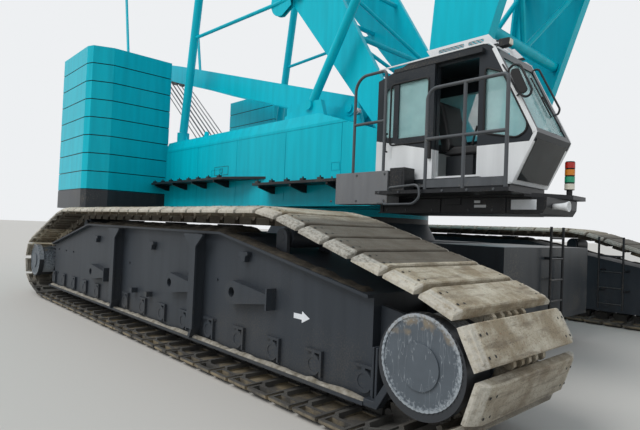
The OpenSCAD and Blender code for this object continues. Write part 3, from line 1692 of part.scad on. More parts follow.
carbody();
slew_ring();
carbody_weights();
undercarriage_ladders();
track_frame_right();
track_frame_left();
track_right();
track_left();
drive_tumblers();
idlers();
track_rollers();
main_frame();
house_right();
house_left();
walkways();
winches();
counterweight_trays();
counterweight_right();
counterweight_left();
lever_brackets();
strut_seats();
boom_backstops();
cab_shell();
cab_side_wall();
cab_glass();
cab_seat();
cab_platform();
handrails();
step_box();
warning_light();
cab_fittings();
cab_door();
cab_door_glass();
boom_base();
boom_insert();
boom_head();
boom_head_sheaves();
mast_base();
mast_lattice();
mast_head();
mast_struts();
lever();
lever_sheaves();
lever_links();
boom_pendants();
hoist_ropes();
hook_block();
hook();
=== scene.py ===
import math
import random

import bmesh
import bpy
from mathutils import Matrix, Vector
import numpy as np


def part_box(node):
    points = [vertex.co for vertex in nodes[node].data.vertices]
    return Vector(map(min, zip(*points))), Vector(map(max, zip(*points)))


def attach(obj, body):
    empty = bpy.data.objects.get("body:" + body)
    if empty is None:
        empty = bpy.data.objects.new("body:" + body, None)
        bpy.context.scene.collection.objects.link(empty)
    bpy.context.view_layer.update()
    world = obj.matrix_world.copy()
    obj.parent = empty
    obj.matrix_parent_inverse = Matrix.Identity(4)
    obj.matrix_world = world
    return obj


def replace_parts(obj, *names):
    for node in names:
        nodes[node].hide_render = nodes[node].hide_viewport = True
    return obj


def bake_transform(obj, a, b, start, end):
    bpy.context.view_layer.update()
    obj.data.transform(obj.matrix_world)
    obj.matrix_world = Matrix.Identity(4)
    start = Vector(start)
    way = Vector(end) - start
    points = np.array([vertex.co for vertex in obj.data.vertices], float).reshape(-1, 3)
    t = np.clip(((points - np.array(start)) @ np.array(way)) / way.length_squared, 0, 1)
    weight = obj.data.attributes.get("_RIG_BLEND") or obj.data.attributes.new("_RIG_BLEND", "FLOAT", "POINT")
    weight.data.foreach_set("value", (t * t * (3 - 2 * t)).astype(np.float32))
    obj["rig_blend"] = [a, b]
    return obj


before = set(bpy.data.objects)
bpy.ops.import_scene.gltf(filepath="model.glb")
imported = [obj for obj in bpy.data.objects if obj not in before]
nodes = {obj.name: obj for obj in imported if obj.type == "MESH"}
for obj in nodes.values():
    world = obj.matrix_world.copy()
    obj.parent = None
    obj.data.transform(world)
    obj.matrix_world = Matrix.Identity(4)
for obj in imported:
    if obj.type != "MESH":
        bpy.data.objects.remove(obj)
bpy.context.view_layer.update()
ringLow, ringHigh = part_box("slew_ring")
slewX = (ringLow.x + ringHigh.x) / 2
print("frame loaded:", len(nodes), "nodes")


def at(x, y, z):
    # A place in the machine's own millimetres, slew axis at x = 0, turned to the frame's metres
    return Vector((slewX + x / 1000, y / 1000, z / 1000))


def linearColour(code):
    channels = [int(code[i:i + 2], 16) / 255 for i in (1, 3, 5)]
    return [c / 12.92 if c <= 0.04045 else ((c + 0.055) / 1.055) ** 2.4 for c in channels] + [1.0]


def setInputs(tree, node, inputs):
    # An input is a value, a colour's code, a socket, or a node, which stands for its result
    for key, value in inputs.items():
        socket = node.inputs[key]
        if isinstance(value, bpy.types.Node):
            value = value.outputs[2 if value.bl_idname == "ShaderNodeMix" else 0]
        if isinstance(value, bpy.types.NodeSocket):
            tree.links.new(value, socket)
        elif isinstance(value, str) and value.startswith("#"):
            socket.default_value = linearColour(value)
        else:
            socket.default_value = value


def addNode(tree, kind, inputs=None, **settings):
    node = tree.nodes.new(kind)
    for name, value in settings.items():
        setattr(node, name, value)
    setInputs(tree, node, inputs or {})
    return node


def newMaterial(name):
    material = bpy.data.materials.new(name)
    material.use_nodes = True
    tree = material.node_tree
    tree.nodes.clear()
    shader = addNode(tree, "ShaderNodeBsdfPrincipled")
    addNode(tree, "ShaderNodeOutputMaterial", {"Surface": shader})
    return material, tree, shader, addNode(tree, "ShaderNodeTexCoord").outputs["Object"]


# Second colour above a line along the cab's side, (x, z) in the machine's millimetres
belt = {"rear": (2570, 2870), "front": (3530, 2670)}


def beltLine(tree, place, lower, upper):
    axes = addNode(tree, "ShaderNodeSeparateXYZ", {"Vector": place})
    line = addNode(tree, "ShaderNodeMapRange", {
        "Value": axes.outputs[0],
        "From Min": slewX + belt["rear"][0] / 1000, "From Max": slewX + belt["front"][0] / 1000,
        "To Min": belt["rear"][1] / 1000, "To Max": belt["front"][1] / 1000})
    above = addNode(tree, "ShaderNodeMath", {0: axes.outputs[2], 1: line}, operation="GREATER_THAN")
    return addNode(tree, "ShaderNodeMix", {"Factor": above, 6: lower, 7: upper}, data_type="RGBA")


# The cab's shell is darker on its inside: between its walls and behind its front, in metres from the axis
darkInside = {"colour": "#292b2d", "walls": (-2.168, -1.397), "levels": (2.28, 3.803), "rear": 2.622,
          "knee": (4.755, 2.76), "lean": 0.49, "chin": 0.4815}


def insideCab(tree, place, colour):
    x, y, z = addNode(tree, "ShaderNodeSeparateXYZ", {"Vector": place}).outputs
    kneeX, kneeZ = darkInside["knee"]
    drop = addNode(tree, "ShaderNodeMath", {0: z, 1: kneeZ}, operation="SUBTRACT")
    lean = addNode(tree, "ShaderNodeMath", {0: drop, 1: -darkInside["lean"]}, operation="MULTIPLY")
    chin = addNode(tree, "ShaderNodeMath", {0: drop, 1: darkInside["chin"]}, operation="MULTIPLY")
    front = addNode(tree, "ShaderNodeMath", {0: lean, 1: chin}, operation="MINIMUM")
    front = addNode(tree, "ShaderNodeMath", {0: front, 1: slewX + kneeX}, operation="ADD")
    keep = None
    for value, above, below in ((y, *darkInside["walls"]), (z, *darkInside["levels"]),
                                (x, slewX + darkInside["rear"], front)):
        for limit, way in ((above, "GREATER_THAN"), (below, "LESS_THAN")):
            test = addNode(tree, "ShaderNodeMath", {0: value, 1: limit}, operation=way)
            if keep:
                test = addNode(tree, "ShaderNodeMath", {0: keep, 1: test}, operation="MULTIPLY")
            keep = test
    return addNode(tree, "ShaderNodeMix", {"Factor": keep, 6: colour, 7: darkInside["colour"]},
                   data_type="RGBA")


# Counterweight slabs: foot of the lowest, height of one, and the shaded joint under each, in metres
slabs = {"low": 2.332, "high": 0.42, "joint": 0.02}
# The cab's fittings are pale from this height up, in metres
roofLevel = 3.866


# Enamel on steel plate: even colour, soft gloss, dust that gathers in patches and mud low down
def enamel(name, look):
    material, tree, shader, place = newMaterial(name)
    level = addNode(tree, "ShaderNodeSeparateXYZ", {"Vector": place}).outputs[2]
    patches = addNode(tree, "ShaderNodeTexNoise", {
        "Vector": place, "Scale": look["patchesPerMetre"], "Detail": 5.0, "Roughness": 0.62})
    fine = addNode(tree, "ShaderNodeTexNoise", {
        "Vector": place, "Scale": look["speckPerMetre"], "Detail": 3.0})
    drawn = addNode(tree, "ShaderNodeMapping", {"Vector": place, "Scale": (5.0, 5.0, 0.45)})
    streaks = addNode(tree, "ShaderNodeTexNoise", {"Vector": drawn, "Scale": 1.6, "Detail": 4.0})
    tone = addNode(tree, "ShaderNodeMapRange", {"Value": streaks, "From Min": 0.35, "From Max": 0.72})
    colour = addNode(tree, "ShaderNodeMix", {"Factor": tone, 6: look["colour"], 7: look["shade"]},
                     data_type="RGBA")
    if "upper" in look:
        colour = beltLine(tree, place, colour, look["upper"])
    layers = []
    if "roof" in look:
        over = addNode(tree, "ShaderNodeMath", {0: level, 1: roofLevel}, operation="GREATER_THAN")
        layers.append((over, look["roof"]))
    if "joint" in look:
        risen = addNode(tree, "ShaderNodeMath", {0: level, 1: slabs["low"]}, operation="SUBTRACT")
        within = addNode(tree, "ShaderNodeMath", {0: risen, 1: slabs["high"]}, operation="FLOORED_MODULO")
        dark = addNode(tree, "ShaderNodeMath", {0: within, 1: slabs["joint"]}, operation="LESS_THAN")
        layers.append((dark, look["joint"]))
    dusty = addNode(tree, "ShaderNodeMath", {0: patches, 1: fine}, operation="MULTIPLY")
    low = addNode(tree, "ShaderNodeMapRange", {
        "Value": level, "From Min": look["mudFrom"], "From Max": look["mudTo"], "To Min": 1.0, "To Max": 0.0})
    spread = addNode(tree, "ShaderNodeMath", {0: low, 1: look["mud"]}, operation="MULTIPLY")
    reach = addNode(tree, "ShaderNodeMath", {0: dusty, 1: spread}, operation="ADD")
    cover = addNode(tree, "ShaderNodeMapRange", {
        "Value": reach, "From Min": look["dustFrom"], "From Max": look["dustTo"], "To Max": look["dustMost"]})
    for factor, over in layers + [(cover, look["dust"])]:
        colour = addNode(tree, "ShaderNodeMix", {"Factor": factor, 6: colour, 7: over}, data_type="RGBA")
    if "upper" in look:
        colour = insideCab(tree, place, colour)
    gloss = addNode(tree, "ShaderNodeMapRange", {"Value": cover, "To Min": look["roughness"], "To Max": 0.88})
    grain = addNode(tree, "ShaderNodeBump", {"Height": fine, "Strength": look["grain"], "Distance": 0.002})
    setInputs(tree, shader, {"Base Color": colour, "Roughness": gloss, "Normal": grain,
                             "Specular IOR Level": look.get("sheen", 0.3)})
    return material


enamelLook = {"patchesPerMetre": 1.1, "speckPerMetre": 60.0, "mudFrom": 0.0, "mudTo": 1.4, "mud": 0.0,
              "dustFrom": 0.30, "dustTo": 0.52, "dustMost": 0.35, "dust": "#b3a48c", "roughness": 0.34,
              "grain": 0.06}
turquoiseLook = dict(enamelLook, colour="#00c3d5", shade="#00b5c7", dustMost=0.03, sheen=0.16)
paleLook = dict(enamelLook, colour="#f0f1f0", shade="#e4e5e4", dustMost=0.1, roughness=0.3)
finishes = {
    "turquoiseEnamel": turquoiseLook,
    "slabEnamel": dict(turquoiseLook, dustMost=0.04, joint="#06343a"),
    "slateEnamel": dict(enamelLook, colour="#363b41", shade="#2f343a", mud=0.2, mudFrom=0.0, mudTo=1.3,
                        dustFrom=0.36, dustTo=0.66, dustMost=0.5, dust="#6d6558", roughness=0.5),
    "blackEnamel": dict(enamelLook, colour="#232528", shade="#1b1c1f", dustMost=0.3),
    "weightEnamel": dict(enamelLook, colour="#2f3439", shade="#282c30", dustMost=0.4),
    "paleEnamel": paleLook,
    "twoToneEnamel": dict(paleLook, upper="#262b30"),
    "fittingEnamel": dict(enamelLook, colour="#2b2e31", shade="#26292c", dustMost=0.3, roughness=0.32,
                          roof="#eceded"),
    "greyEnamel": dict(enamelLook, colour="#56595c", shade="#4b4e51", dustMost=0.35),
    "stoneEnamel": dict(enamelLook, colour="#7b7c7e", shade="#6f7072", dustMost=0.3, roughness=0.5),
}
materials = {name: enamel(name, look) for name, look in finishes.items()}

# Cast steel shoes: trodden bare and pale on the ridges, dry mud and rust in the low grain, painted shade low
# down and under the top run; heights in metres
shoeLook = {"mud": "#95876f", "steel": "#c6bda9", "rust": "#7a4c2e", "clodsPerMetre": 3.2,
            "grainPerMetre": 38.0, "pitsPerMetre": 95.0, "paintedShade": "#37393b", "groundShadeFull": 0.16, "groundShadeEnd": 0.42,
            "inner": "#4c463e", "underShadeFrom": 1.72, "underShadeTo": 1.80, "underShadeAbove": 1.4, "worn": "#cbc6ba",
            "wornFrom": 0.645, "wornTo": 0.66, "trackY": 3.85, "clay": "#8d7f66", "clayAt": 0.05,
            "clayHalf": 0.024, "streak": "#6f6250", "pit": "#3d352b"}


def castShoe(look):
    material, tree, shader, place = newMaterial("castShoeSteel")
    clods = addNode(tree, "ShaderNodeTexNoise", {
        "Vector": place, "Scale": look["clodsPerMetre"], "Detail": 7.0, "Roughness": 0.65})
    grain = addNode(tree, "ShaderNodeTexNoise", {
        "Vector": place, "Scale": look["grainPerMetre"], "Detail": 5.0, "Roughness": 0.7})
    bare = addNode(tree, "ShaderNodeMapRange", {"Value": clods, "From Min": 0.40, "From Max": 0.60})
    rusty = addNode(tree, "ShaderNodeMapRange", {
        "Value": grain, "From Min": 0.55, "From Max": 0.72, "To Max": 0.55})
    # Long dark streaks across each shoe and dark dirt where it is pitted
    stretched = addNode(tree, "ShaderNodeMapping", {"Vector": place, "Scale": (11.0, 1.3, 11.0)})
    streaks = addNode(tree, "ShaderNodeTexNoise", {
        "Vector": stretched, "Scale": 1.5, "Detail": 6.0, "Roughness": 0.68})
    dirty = addNode(tree, "ShaderNodeMapRange", {
        "Value": streaks, "From Min": 0.50, "From Max": 0.66, "To Max": 0.75})
    pits = addNode(tree, "ShaderNodeTexNoise", {
        "Vector": place, "Scale": look["pitsPerMetre"], "Detail": 2.0})
    pitted = addNode(tree, "ShaderNodeMapRange", {
        "Value": pits, "From Min": 0.60, "From Max": 0.68, "To Max": 0.6})
    # Painted shade: shoes that hang below the hub are darkened, and darker still near the ground
    x, y, z = addNode(tree, "ShaderNodeSeparateXYZ", {"Vector": place}).outputs
    belowHubShade = addNode(tree, "ShaderNodeMapRange", {
        "Value": z, "From Min": 0.45, "From Max": 0.95, "To Min": 0.42, "To Max": 0.0})
    low = addNode(tree, "ShaderNodeMapRange", {
        "Value": z, "From Min": look["groundShadeFull"], "From Max": look["groundShadeEnd"], "To Min": 0.8, "To Max": 0.0})
    # Painted shade on the links' side under the top run; the pockets of the lower run hold clay
    top = addNode(tree, "ShaderNodeMapRange", {
        "Value": z, "From Min": look["underShadeFrom"], "From Max": look["underShadeTo"], "To Min": 0.85,
        "To Max": 0.0})
    high = addNode(tree, "ShaderNodeMath", {0: z, 1: look["underShadeAbove"]}, operation="GREATER_THAN")
    inner = addNode(tree, "ShaderNodeMath", {0: top, 1: high}, operation="MULTIPLY")
    pocket = addNode(tree, "ShaderNodeMath", {0: z, 1: look["clayAt"]}, operation="SUBTRACT")
    pocket = addNode(tree, "ShaderNodeMath", {0: pocket}, operation="ABSOLUTE")
    pocket = addNode(tree, "ShaderNodeMath", {0: pocket, 1: look["clayHalf"]}, operation="LESS_THAN")
    clay = addNode(tree, "ShaderNodeMath", {0: pocket, 1: bare}, operation="MULTIPLY")
    # The bevelled ends are trodden to pale metal
    across = addNode(tree, "ShaderNodeMath", {0: y}, operation="ABSOLUTE")
    across = addNode(tree, "ShaderNodeMath", {0: across, 1: look["trackY"]}, operation="SUBTRACT")
    across = addNode(tree, "ShaderNodeMath", {0: across}, operation="ABSOLUTE")
    worn = addNode(tree, "ShaderNodeMapRange", {
        "Value": across, "From Min": look["wornFrom"], "From Max": look["wornTo"], "To Max": 0.7})
    rubbed = addNode(tree, "ShaderNodeMapRange", {
        "Value": grain, "From Min": 0.38, "From Max": 0.56, "To Min": 0.35})
    offGround = addNode(tree, "ShaderNodeMapRange", {"Value": z, "From Min": 0.2, "From Max": 0.5})
    for factor in (rubbed, offGround):
        worn = addNode(tree, "ShaderNodeMath", {0: worn, 1: factor}, operation="MULTIPLY")
    colour = look["mud"]
    # Painted shade among these: the dark grey below the hub and near the ground, and the dark under the top
    # run
    for factor, over in ((bare, "steel"), (rusty, "rust"), (dirty, "streak"), (pitted, "pit"), (belowHubShade, "paintedShade"),
                         (low, "paintedShade"), (inner, "inner"), (clay, "clay"), (worn, "worn")):
        colour = addNode(tree, "ShaderNodeMix", {"Factor": factor, 6: colour, 7: look[over]},
                         data_type="RGBA")
    height = addNode(tree, "ShaderNodeMath", {0: clods, 1: grain}, operation="ADD")
    bump = addNode(tree, "ShaderNodeBump", {"Height": height, "Strength": 0.5, "Distance": 0.012})
    setInputs(tree, shader, {"Base Color": colour, "Roughness": 0.78, "Normal": bump})
    return material


# Plain machine finishes: steel, nylon, rubber, lamp plastic; grain in cycles a metre
def plainFinish(name, look):
    material, tree, shader, place = newMaterial(name)
    grain = addNode(tree, "ShaderNodeTexNoise", {
        "Vector": place, "Scale": look["grainPerMetre"], "Detail": 4.0, "Roughness": 0.6})
    spread = addNode(tree, "ShaderNodeMapRange", {"Value": grain, "From Min": 0.35, "From Max": 0.65})
    colour = addNode(tree, "ShaderNodeMix", {"Factor": spread, 6: look["colour"], 7: look["shade"]},
                     data_type="RGBA")
    bump = addNode(tree, "ShaderNodeBump", {
        "Height": grain, "Strength": look.get("grain", 0.15), "Distance": 0.003})
    setInputs(tree, shader, {"Base Color": colour, "Metallic": look.get("metallic", 0.0),
                             "Roughness": look["roughness"], "Normal": bump})
    return material


# Turned steel of the hubs: fine pale scratches over a grey face, dark behind its rim and muddy above it
hubLook = {"face": "#5b636a", "shade": "#454c53", "scratch": "#a9b0b5", "behind": "#2c2f33", "mud": "#7f7463",
           "centreX": 5.05, "centreZ": 0.742, "radius": 0.338}


def hubSteel(look):
    material, tree, shader, place = newMaterial("turnedHubSteel")
    tone = addNode(tree, "ShaderNodeTexNoise", {"Vector": place, "Scale": 7.0, "Detail": 5.0})
    skew = addNode(tree, "ShaderNodeMapping", {
        "Vector": place, "Rotation": (0.0, 0.7, 0.0), "Scale": (1.0, 1.0, 0.16)})
    lines = addNode(tree, "ShaderNodeTexNoise", {"Vector": skew, "Scale": 22.0, "Detail": 2.0})
    band = addNode(tree, "ShaderNodeMath", {0: lines, 1: 0.5}, operation="SUBTRACT")
    band = addNode(tree, "ShaderNodeMath", {0: band}, operation="ABSOLUTE")
    scratch = addNode(tree, "ShaderNodeMapRange", {
        "Value": band, "From Min": 0.004, "From Max": 0.011, "To Min": 0.4, "To Max": 0.0})
    # Distance from the hub's centre, at the front and the rear alike
    moved = addNode(tree, "ShaderNodeMapping", {"Vector": place, "Location": (-slewX, 0.0, -look["centreZ"])})
    x, y, z = addNode(tree, "ShaderNodeSeparateXYZ", {"Vector": moved}).outputs
    along = addNode(tree, "ShaderNodeMath", {0: x}, operation="ABSOLUTE")
    along = addNode(tree, "ShaderNodeMath", {0: along, 1: look["centreX"]}, operation="SUBTRACT")
    flat = addNode(tree, "ShaderNodeCombineXYZ", {"X": along, "Y": z})
    reach = addNode(tree, "ShaderNodeVectorMath", {0: flat}, operation="LENGTH").outputs["Value"]
    muddy = addNode(tree, "ShaderNodeMath", {0: reach, 1: z}, operation="ADD")
    muddy = addNode(tree, "ShaderNodeMath", {0: muddy, 1: tone}, operation="ADD")
    muddy = addNode(tree, "ShaderNodeMapRange", {"Value": muddy, "From Min": 1.02, "From Max": 1.14})
    border = addNode(tree, "ShaderNodeMapRange", {
        "Value": reach, "From Min": 0.27, "From Max": 0.34, "To Max": 0.5})
    dusty = addNode(tree, "ShaderNodeTexNoise", {"Vector": place, "Scale": 45.0, "Detail": 3.0})
    border = addNode(tree, "ShaderNodeMath", {0: border, 1: dusty}, operation="ADD")
    border = addNode(tree, "ShaderNodeMapRange", {
        "Value": border, "From Min": 0.68, "From Max": 0.95, "To Max": 0.8})
    behind = addNode(tree, "ShaderNodeMath", {0: reach, 1: look["radius"]}, operation="GREATER_THAN")
    colour = look["face"]
    for factor, over in ((tone, "shade"), (scratch, "scratch"), (muddy, "mud"), (border, "scratch"),
                         (behind, "behind")):
        colour = addNode(tree, "ShaderNodeMix", {"Factor": factor, 6: colour, 7: look[over]},
                         data_type="RGBA")
    setInputs(tree, shader, {"Base Color": colour, "Roughness": 0.5})
    return material


# Tinted safety glass: thin, greenish, sharp reflections, with a veil of pale colour that is a painted
# reflection of the sky, with dust in patches
def safetyGlass(name, colour, veilFrom, veilTo):
    material, tree, shader, place = newMaterial(name)
    dust = addNode(tree, "ShaderNodeTexNoise", {"Vector": place, "Scale": 4.0, "Detail": 4.0})
    # The veil lays the base colour over the pane in patches; on the pale tinted glass it is a painted
    # reflection of the sky
    veil = addNode(tree, "ShaderNodeMapRange", {
        "Value": dust, "From Min": 0.4, "From Max": 0.8, "To Min": veilFrom, "To Max": veilTo})
    setInputs(tree, shader, {"Base Color": colour, "Roughness": 0.04, "IOR": 1.5, "Alpha": veil})
    return material


steelLook = {"metallic": 1.0, "roughness": 0.5}
soilLook = {"grain": 0.9}
lensLook = {"roughness": 0.2, "grainPerMetre": 40.0}
plainLooks = {
    "machinedSteel": dict(steelLook, colour="#b9bcbe", shade="#9a9da0", roughness=0.3, grainPerMetre=40.0),
    "greasedSteel": dict(steelLook, colour="#2b2c2c", shade="#1d1d1d", roughness=0.4, metallic=0.6,
                         grainPerMetre=20.0),
    "wireRope": dict(steelLook, colour="#5a5d60", shade="#33363a", metallic=0.7, grainPerMetre=70.0),
    "forgedSteel": dict(steelLook, colour="#3a3c3e", shade="#2a2b2d", roughness=0.55, metallic=0.4,
                        grainPerMetre=14.0),
    "castNylon": {"colour": "#222324", "shade": "#191a1b", "roughness": 0.45, "grainPerMetre": 30.0},
    "seatVinyl": {"colour": "#2a2a2b", "shade": "#202021", "roughness": 0.5, "grainPerMetre": 220.0},
    "blackRubber": {"colour": "#161617", "shade": "#101011", "roughness": 0.7, "grainPerMetre": 90.0},
    "driedMud": dict(soilLook, colour="#a8a296", shade="#716a5c", roughness=0.95, grainPerMetre=11.0),
    "brownSoil": dict(soilLook, colour="#4a4338", shade="#2c2822", roughness=0.97, grainPerMetre=16.0),
    "signPaint": {"colour": "#eceef0", "shade": "#dfe2e4", "roughness": 0.5, "grainPerMetre": 8.0,
                  "grain": 0.02},
    "redLens": dict(lensLook, colour="#c02a1c", shade="#a82216"),
    "amberLens": dict(lensLook, colour="#e08a1c", shade="#cf7a14"),
    "greenLens": dict(lensLook, colour="#2aa57a", shade="#1f9069"),
    "clearLens": dict(lensLook, colour="#e6e2d2", shade="#d8d2bd", roughness=0.15),
}
materials.update({name: plainFinish(name, look) for name, look in plainLooks.items()})
materials["castShoeSteel"] = castShoe(shoeLook)
materials["turnedHubSteel"] = hubSteel(hubLook)
# Painted reflection: the pale tint and its veil stand in for the sky reflected in the cab's panes
materials["tintedSafetyGlass"] = safetyGlass("tintedSafetyGlass", "#b4dedd", 0.44, 0.6)
materials["smokedGlass"] = safetyGlass("smokedGlass", "#10181a", 0.8, 0.9)
nodeFinishes = {
    "slabEnamel": ["counterweight_right", "counterweight_left"],
    "turquoiseEnamel": ["main_frame", "house_right", "house_left", "lever_brackets", "strut_seats",
                        "boom_backstops", "boom_base", "boom_insert", "boom_head", "mast_base",
                        "mast_lattice", "mast_head", "mast_struts", "lever", "lever_links",
                        "boom_pendants", "hook_block"],
    "slateEnamel": ["carbody", "track_frame_right", "track_frame_left", "track_rollers"],
    "weightEnamel": ["carbody_weights", "counterweight_trays"],
    "blackEnamel": ["undercarriage_ladders", "walkways", "cab_platform"],
    "turnedHubSteel": ["drive_tumblers", "idlers"],
    "greasedSteel": ["slew_ring"],
    "greyEnamel": ["winches", "handrails"],
    "twoToneEnamel": ["cab_shell", "cab_side_wall", "cab_door"],
    "fittingEnamel": ["cab_fittings"],
    "blackRubber": ["warning_light"],
    "stoneEnamel": ["step_box"],
    "tintedSafetyGlass": ["cab_glass", "cab_door_glass"],
    "seatVinyl": ["cab_seat"],
    "castNylon": ["boom_head_sheaves", "lever_sheaves"],
    "wireRope": ["hoist_ropes"],
    "forgedSteel": ["hook"],
}
for finish, names in nodeFinishes.items():
    for name in names:
        if name in nodes:
            nodes[name].data.materials.clear()
            nodes[name].data.materials.append(materials[finish])
print("materials ready:", len(materials))


def onSide(a, b, c):
    # For outlines of (x, z), thick along y
    return at(a, c, b)


def onPart(a, b, c):
    # For a part round its own origin
    return Vector((a, b, c)) / 1000


def addFaces(bm, points, faces):
    corners = [bm.verts.new(p) for p in points]
    return [bm.faces.new([corners[i] for i in f]) for f in faces]


def addPrism(bm, outline, low, high, place):
    # Closed prism over an outline of (a, b), from low to high; place(a, b, c) gives the point
    n = len(outline)
    points = [place(a, b, c) for c in (low, high) for a, b in outline]
    faces = [tuple(range(n - 1, -1, -1)), tuple(range(n, 2 * n))]
    return addFaces(bm, points, faces + [(i, (i + 1) % n, n + (i + 1) % n, n + i) for i in range(n)])


def bands(rows, count, closed=True):
    # Faces between neighbouring rings of points, each of the same count
    return [(i * count + k, i * count + (k + 1) % count, (i + 1) % rows * count + (k + 1) % count,
             (i + 1) % rows * count + k) for i in range(rows if closed else rows - 1) for k in range(count)]


def rect(x0, z0, x1, z1):
    return [(x0, z0), (x1, z0), (x1, z1), (x0, z1)]


def ring(radius, count, x=0.0, z=0.0):
    turns = [2 * math.pi * i / count for i in range(count)]
    return [(x + radius * math.cos(t), z + radius * math.sin(t)) for t in turns]


def block(low, high):
    # A prism for prismPiece, between two corners
    return rect(*low[:2], *high[:2]), low[2], high[2], at


def corner(before, here, after, radius, steps):
    back, ahead = before - here, after - here
    reach = min(radius, back.length * 0.45, ahead.length * 0.45)
    a, b = here + back.normalized() * reach, here + ahead.normalized() * reach
    parts = [k / steps for k in range(steps + 1)]
    return [a * (1 - t) ** 2 + here * 2 * t * (1 - t) + b * t ** 2 for t in parts]


def roundOff(outline, radius, steps=4):
    # The outline with each corner rounded
    points = [Vector(p) for p in outline]
    turns = zip(points[-1:] + points[:-1], points, points[1:] + points[:1])
    return [tuple(p) for turn in turns for p in corner(*turn, radius, steps)]


def bend(points, radius, steps=5):
    # A line of points in millimetres with its inner corners rounded
    line = [Vector(p) for p in points]
    turns = zip(line, line[1:], line[2:])
    return line[:1] + [p for turn in turns for p in corner(*turn, radius, steps)] + line[-1:]


def offLine(start, end, t, y, lift):
    # Part of the way along a line of (x, z), lifted off it
    (x0, z0), (x1, z1) = start, end
    d = math.hypot(x1 - x0, z1 - z0)
    return (x0 + (x1 - x0) * t + (z1 - z0) / d * lift, y, z0 + (z1 - z0) * t - (x1 - x0) / d * lift)


def addObject(name, data):
    thing = bpy.data.objects.new(name, data)
    bpy.context.scene.collection.objects.link(thing)
    return thing


def finishMesh(name, mesh, body, finish, smooth=False):
    mesh.materials.clear()
    mesh.materials.append(materials[finish])
    mesh.polygons.foreach_set("use_smooth", [smooth] * len(mesh.polygons))
    piece = addObject(name, mesh)
    if body:   # a piece that blends between two bodies has none of its own
        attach(piece, body)
    return piece


def finishPiece(name, bm, body, finish, bevel=0.0, smooth=False):
    bmesh.ops.remove_doubles(bm, verts=bm.verts, dist=1e-5)
    bmesh.ops.recalc_face_normals(bm, faces=bm.faces)
    if bevel:
        edges = [e for e in bm.edges if len(e.link_faces) == 2 and e.calc_face_angle() > 0.6]
        bmesh.ops.bevel(bm, geom=edges, offset=bevel, segments=1, affect="EDGES", clamp_overlap=True)
    mesh = bpy.data.meshes.new(name)
    bm.to_mesh(mesh)
    bm.free()
    return finishMesh(name, mesh, body, finish, smooth)


def prismPiece(name, prisms, body, finish, bevel=0.0):
    # prisms: (outline, low, high) with the outline in x and z, or with a fourth value that places it
    bm = bmesh.new()
    for outline, low, high, *place in prisms:
        addPrism(bm, outline, low, high, *(place or [onSide]))
    return finishPiece(name, bm, body, finish, bevel)


def newTree(name, sockets):
    tree = bpy.data.node_groups.new(name, "GeometryNodeTree")
    for label, kind in dict(sockets, Finish="Material").items():
        tree.interface.new_socket(label, in_out="INPUT", socket_type="NodeSocket" + kind)
    tree.interface.new_socket("Result", in_out="OUTPUT", socket_type="NodeSocketGeometry")
    return tree, addNode(tree, "NodeGroupInput").outputs


def closeTree(tree, given, result):
    real = addNode(tree, "GeometryNodeRealizeInstances", {0: result})
    painted = addNode(tree, "GeometryNodeSetMaterial", {"Geometry": real, "Material": given["Finish"]})
    addNode(tree, "NodeGroupOutput", {0: painted})
    return tree


# Copies of a part on the points of a mesh, each turned by the points' own "turn", a little uneven
def placeTree():
    tree, given = newTree("placeCopies", {"Places": "Geometry", "Part": "Object", "Size": "Float",
                                          "Uneven": "Float"})
    part = addNode(tree, "GeometryNodeObjectInfo", {"Object": given["Part"]})
    turn = addNode(tree, "GeometryNodeInputNamedAttribute", {"Name": "turn"}, data_type="FLOAT_VECTOR")
    spread = addNode(tree, "ShaderNodeMath", {0: given["Uneven"], 1: -1.0}, operation="MULTIPLY")
    jitter = addNode(tree, "FunctionNodeRandomValue", {"Min": spread, "Max": given["Uneven"], "Seed": 7},
                     data_type="FLOAT_VECTOR")
    turned = addNode(tree, "ShaderNodeVectorMath", {0: turn, 1: jitter}, operation="ADD")
    copies = addNode(tree, "GeometryNodeInstanceOnPoints", {
        "Points": given["Places"], "Instance": part.outputs["Geometry"], "Rotation": turned,
        "Scale": given["Size"]})
    return closeTree(tree, given, copies)


# A tube of even thickness along the edges of a mesh
def tubeTree():
    tree, given = newTree("tubeAlong", {"Line": "Geometry", "Radius": "Float", "Sides": "Int"})
    curve = addNode(tree, "GeometryNodeMeshToCurve", {"Mesh": given["Line"]})
    profile = addNode(tree, "GeometryNodeCurvePrimitiveCircle", {
        "Resolution": given["Sides"], "Radius": given["Radius"]})
    tube = addNode(tree, "GeometryNodeCurveToMesh", {
        "Curve": curve, "Profile Curve": profile, "Fill Caps": True})
    return closeTree(tree, given, tube)


trees = {"place": placeTree(), "tube": tubeTree()}


def grow(name, source, tree, values, body, finish, smooth=False):
    # Runs a tree on a source mesh and keeps the result as one plain mesh
    holder = addObject(name + ".source", source)
    modifier = holder.modifiers.new("grow", "NODES")
    modifier.node_group = tree
    sockets = {item.name: item.identifier for item in tree.interface.items_tree if item.in_out == "INPUT"}
    for key, value in dict(values, Finish=materials[finish]).items():
        modifier[sockets[key]] = value
    grown = holder.evaluated_get(bpy.context.evaluated_depsgraph_get())
    mesh = bpy.data.meshes.new_from_object(grown)
    mesh.name = name
    for attribute in [a.name for a in mesh.attributes if a.name == "turn"]:
        mesh.attributes.remove(mesh.attributes[attribute])
    bpy.data.objects.remove(holder)
    return finishMesh(name, mesh, body, finish, smooth)


def placeCopies(name, part, places, body, finish, uneven=0.0):
    # places: (point in metres, turn in radians about x, y and z); part: a bmesh round the origin, in metres
    mesh = bpy.data.meshes.new(name + ".part")
    bmesh.ops.recalc_face_normals(part, faces=part.faces)
    part.to_mesh(mesh)
    part.free()
    model = addObject(name + ".part", mesh)
    source = bpy.data.meshes.new(name + ".places")
    source.from_pydata([p for p, turn in places], [], [])
    turns = source.attributes.new("turn", "FLOAT_VECTOR", "POINT")
    turns.data.foreach_set("vector", [c for p, turn in places for c in turn])
    piece = grow(name, source, trees["place"], {"Part": model, "Size": 1.0, "Uneven": uneven}, body, finish)
    bpy.data.objects.remove(model)
    return piece


